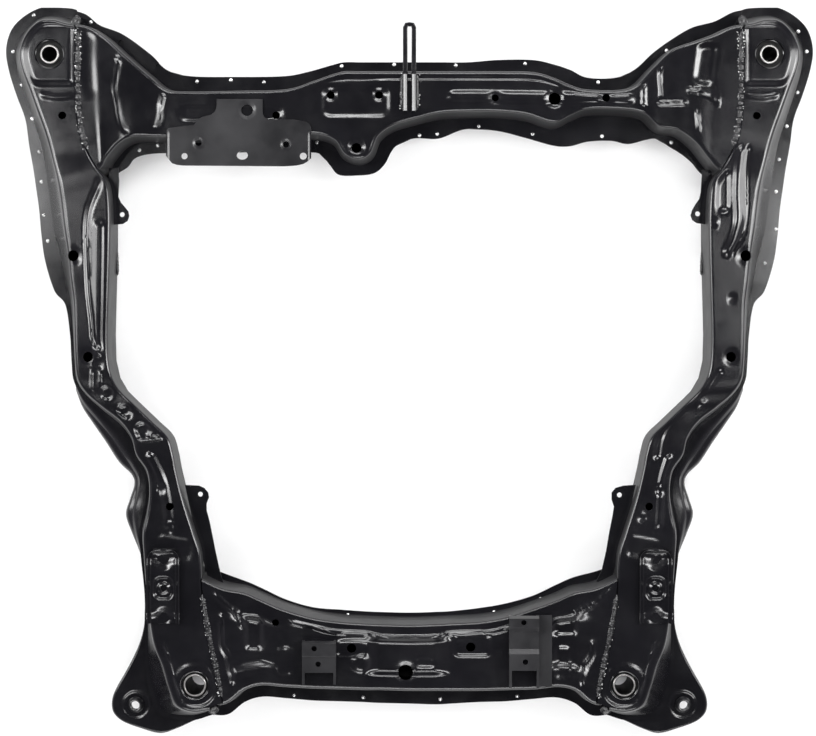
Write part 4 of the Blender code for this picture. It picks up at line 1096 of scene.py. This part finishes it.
class SubframeSettings(bpy.types.PropertyGroup):
    """Sizes and colours of the subframe's look."""

    steps_along: bpy.props.IntProperty(
        name="Steps along", description="Grid steps between two stations of a pressed shell",
        default=10, min=2, max=24)
    paint: bpy.props.FloatVectorProperty(
        name="Paint", description="Colour of the dipped paint", subtype="COLOR", size=3,
        default=(0.0042, 0.0041, 0.0052), min=0.0, max=1.0)
    paint_roughness: bpy.props.FloatProperty(
        name="Paint roughness", description="How dull the paint is", default=0.16, min=0.0, max=1.0)
    steel: bpy.props.FloatVectorProperty(
        name="Sleeve steel", description="Colour of the bush sleeves", subtype="COLOR", size=3,
        default=(0.62, 0.61, 0.59), min=0.0, max=1.0)
    rubber: bpy.props.FloatVectorProperty(
        name="Rubber", description="Colour of the bush rubber", subtype="COLOR", size=3,
        default=(0.012, 0.012, 0.012), min=0.0, max=1.0)
    floor_glow: bpy.props.FloatProperty(
        name="Floor glow", description="Share of plain white in what the camera sees of the floor",
        default=0.75, min=0.0, max=1.0)
    camera_height: bpy.props.FloatProperty(
        name="Camera height", description="Camera above the floor", default=2.845, min=1.0,
        unit="LENGTH")
    view_width: bpy.props.FloatProperty(
        name="View width", description="Width that the camera sees at the shells' joint",
        default=1.0608, min=0.1, unit="LENGTH")


class FinishOperator(bpy.types.Operator):
    """Make the paints and metals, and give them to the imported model's nodes"""

    bl_idname = "subframe.finish"
    bl_label = "Make the finishes"

    def execute(self, context):
        settings = context.scene.subframe_look
        paint = gloss_black_paint(settings)
        painted_weld(settings)
        # Light steel that paints glints on the spot welds and spatter
        weld_painted_glint()
        finishes = {"rubber": bush_rubber(settings), "inner_sleeve": sleeve_steel(settings),
                    "rack_bracket": satin_black_paint(settings)}
        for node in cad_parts:
            finish = next((f for word, f in finishes.items() if word in node), paint)
            solid = bpy.data.objects[node]
            solid.data.materials.clear()
            solid.data.materials.append(finish)
        return {"FINISHED"}


class SideMemberOperator(bpy.types.Operator):
    """Press the upper shells of both side members"""

    bl_idname = "subframe.side_members"
    bl_label = "Side members"

    def execute(self, context):
        for side, word in SIDES:
            side_member(side, word, context.scene.subframe_look)
        return {"FINISHED"}


class CrossmemberOperator(bpy.types.Operator):
    """Press the upper shells of the front and the rear crossmember"""

    bl_idname = "subframe.crossmembers"
    bl_label = "Crossmembers"

    def execute(self, context):
        settings = context.scene.subframe_look
        crossmember("front_crossmember", with_heights(FRONT_CROSS, FRONT_HEIGHTS),
                    relief_of(FRONT_RELIEF), FRONT_HOLES, FLANGE_HOLES, settings)
        crossmember("rear_crossmember", with_heights(REAR_CROSS, [(DECK_REAR, len(REAR_CROSS))]),
                    rear_trough(), REAR_HOLES, (), settings)
        return {"FINISHED"}


class BushOperator(bpy.types.Operator):
    """Turn the four mounting bushes"""

    bl_idname = "subframe.bushes"
    bl_label = "Bushes"

    def execute(self, context):
        for side, word in SIDES:
            for place in BUSHES:
                bush_pieces(place, side, word)
        return {"FINISHED"}


class BracketOperator(bpy.types.Operator):
    """Make the brackets, the corner plates and the skirts"""

    bl_idname = "subframe.brackets"
    bl_label = "Brackets"

    def execute(self, context):
        for side, word in SIDES:
            stabiliser_plate(side, word)
            corner_plate(side, word)
            skirt(side, word)
        roll_plate()
        for name, outline, hole in HOSE_STRIPS:
            hose_strip(name, outline, hole)
        return {"FINISHED"}


class WeldOperator(bpy.types.Operator):
    """Lay the weld beads along the seams"""

    bl_idname = "subframe.welds"
    bl_label = "Weld beads"

    def execute(self, context):
        routes = weld_routes()
        for name, route, width, height in routes:
            bead_of_weld(name, route, width, height)
        spatter([one for one in routes if "seam" in one[0] or "hook" in one[0]])
        spot_welds()
        return {"FINISHED"}


def softbox(name, place, size, power):
    """A soft rectangular lamp that faces the middle of the floor."""
    lamp = bpy.data.lights.new(name, "AREA")
    lamp.shape = "RECTANGLE"
    lamp.size, lamp.size_y = size
    lamp.energy = power
    made = bpy.data.objects.new(name, lamp)
    made.location = place
    made.rotation_euler = (-Vector(place)).to_track_quat("-Z", "Y").to_euler()
    bpy.context.scene.collection.objects.link(made)


def studio_world():
    """The studio's walls: dim overhead, brighter towards the horizon."""
    world = bpy.data.worlds.new("studio")
    world.use_nodes = True
    tree = world.node_tree
    place = add_node(tree, "TexCoord").outputs["Generated"]
    split = add_node(tree, "SeparateXYZ", {"Vector": place})
    walls = ramp(split.outputs["Z"], (0.5, 0.49, 0.53), (0.03, 0.03, 0.032), 0.0, 0.95)
    walls.node.color_ramp.elements.new(0.45).color = (0.22, 0.21, 0.235, 1.0)
    feed(tree.nodes["Background"], {"Color": walls})
    return world


class StageOperator(bpy.types.Operator):
    """Set up the floor, the lamps and the camera of the photograph's view"""

    bl_idname = "subframe.stage"
    bl_label = "Stage"

    def execute(self, context):
        settings = context.scene.subframe_look
        bpy.ops.mesh.primitive_plane_add(size=FLOOR_SIZE, location=(0, 0, -FLOOR_DROP))
        floor = context.active_object
        floor.name = "floor"
        floor.data.materials.append(stage_floor(settings))
        context.scene.world = studio_world()
        for name, lamp in LAMPS.items():
            softbox(name, *lamp)
        camera_data = bpy.data.cameras.new("camera")
        camera_data.sensor_width = SENSOR
        away = settings.camera_height - JOINT_HEIGHT
        camera_data.lens = SENSOR * away / settings.view_width
        camera = bpy.data.objects.new("camera", camera_data)
        camera.location = (*CAMERA_XY, settings.camera_height)
        context.scene.collection.objects.link(camera)
        context.scene.camera = camera
        context.scene.view_settings.view_transform = "Standard"
        return {"FINISHED"}


OPERATORS = (FinishOperator, SideMemberOperator, CrossmemberOperator, BushOperator,
             BracketOperator, WeldOperator, StageOperator)


class SubframePanel(bpy.types.Panel):
    """Sizes, colours and steps of the subframe's look"""

    bl_idname = "VIEW3D_PT_subframe"
    bl_label = "Subframe"
    bl_space_type = "VIEW_3D"
    bl_region_type = "UI"
    bl_category = "Subframe"

    def draw(self, context):
        settings = context.scene.subframe_look
        for name in SubframeSettings.__annotations__:
            self.layout.prop(settings, name)
        for operator in OPERATORS:
            self.layout.operator(operator.bl_idname)


CLASSES = (SubframeSettings, *OPERATORS, SubframePanel)


def register():
    """Register the add-on's classes and its settings."""
    for made in CLASSES:
        bpy.utils.register_class(made)
    bpy.types.Scene.subframe_look = bpy.props.PointerProperty(type=SubframeSettings)


def unregister():
    """Take the add-on's settings and classes away again."""
    del bpy.types.Scene.subframe_look
    for made in reversed(CLASSES):
        bpy.utils.unregister_class(made)


def main():
    """Make the whole scene."""
    register()
    for operator in OPERATORS:
        group, name = operator.bl_idname.split(".")
        getattr(getattr(bpy.ops, group), name)()


if __name__ == "__main__":
    main()
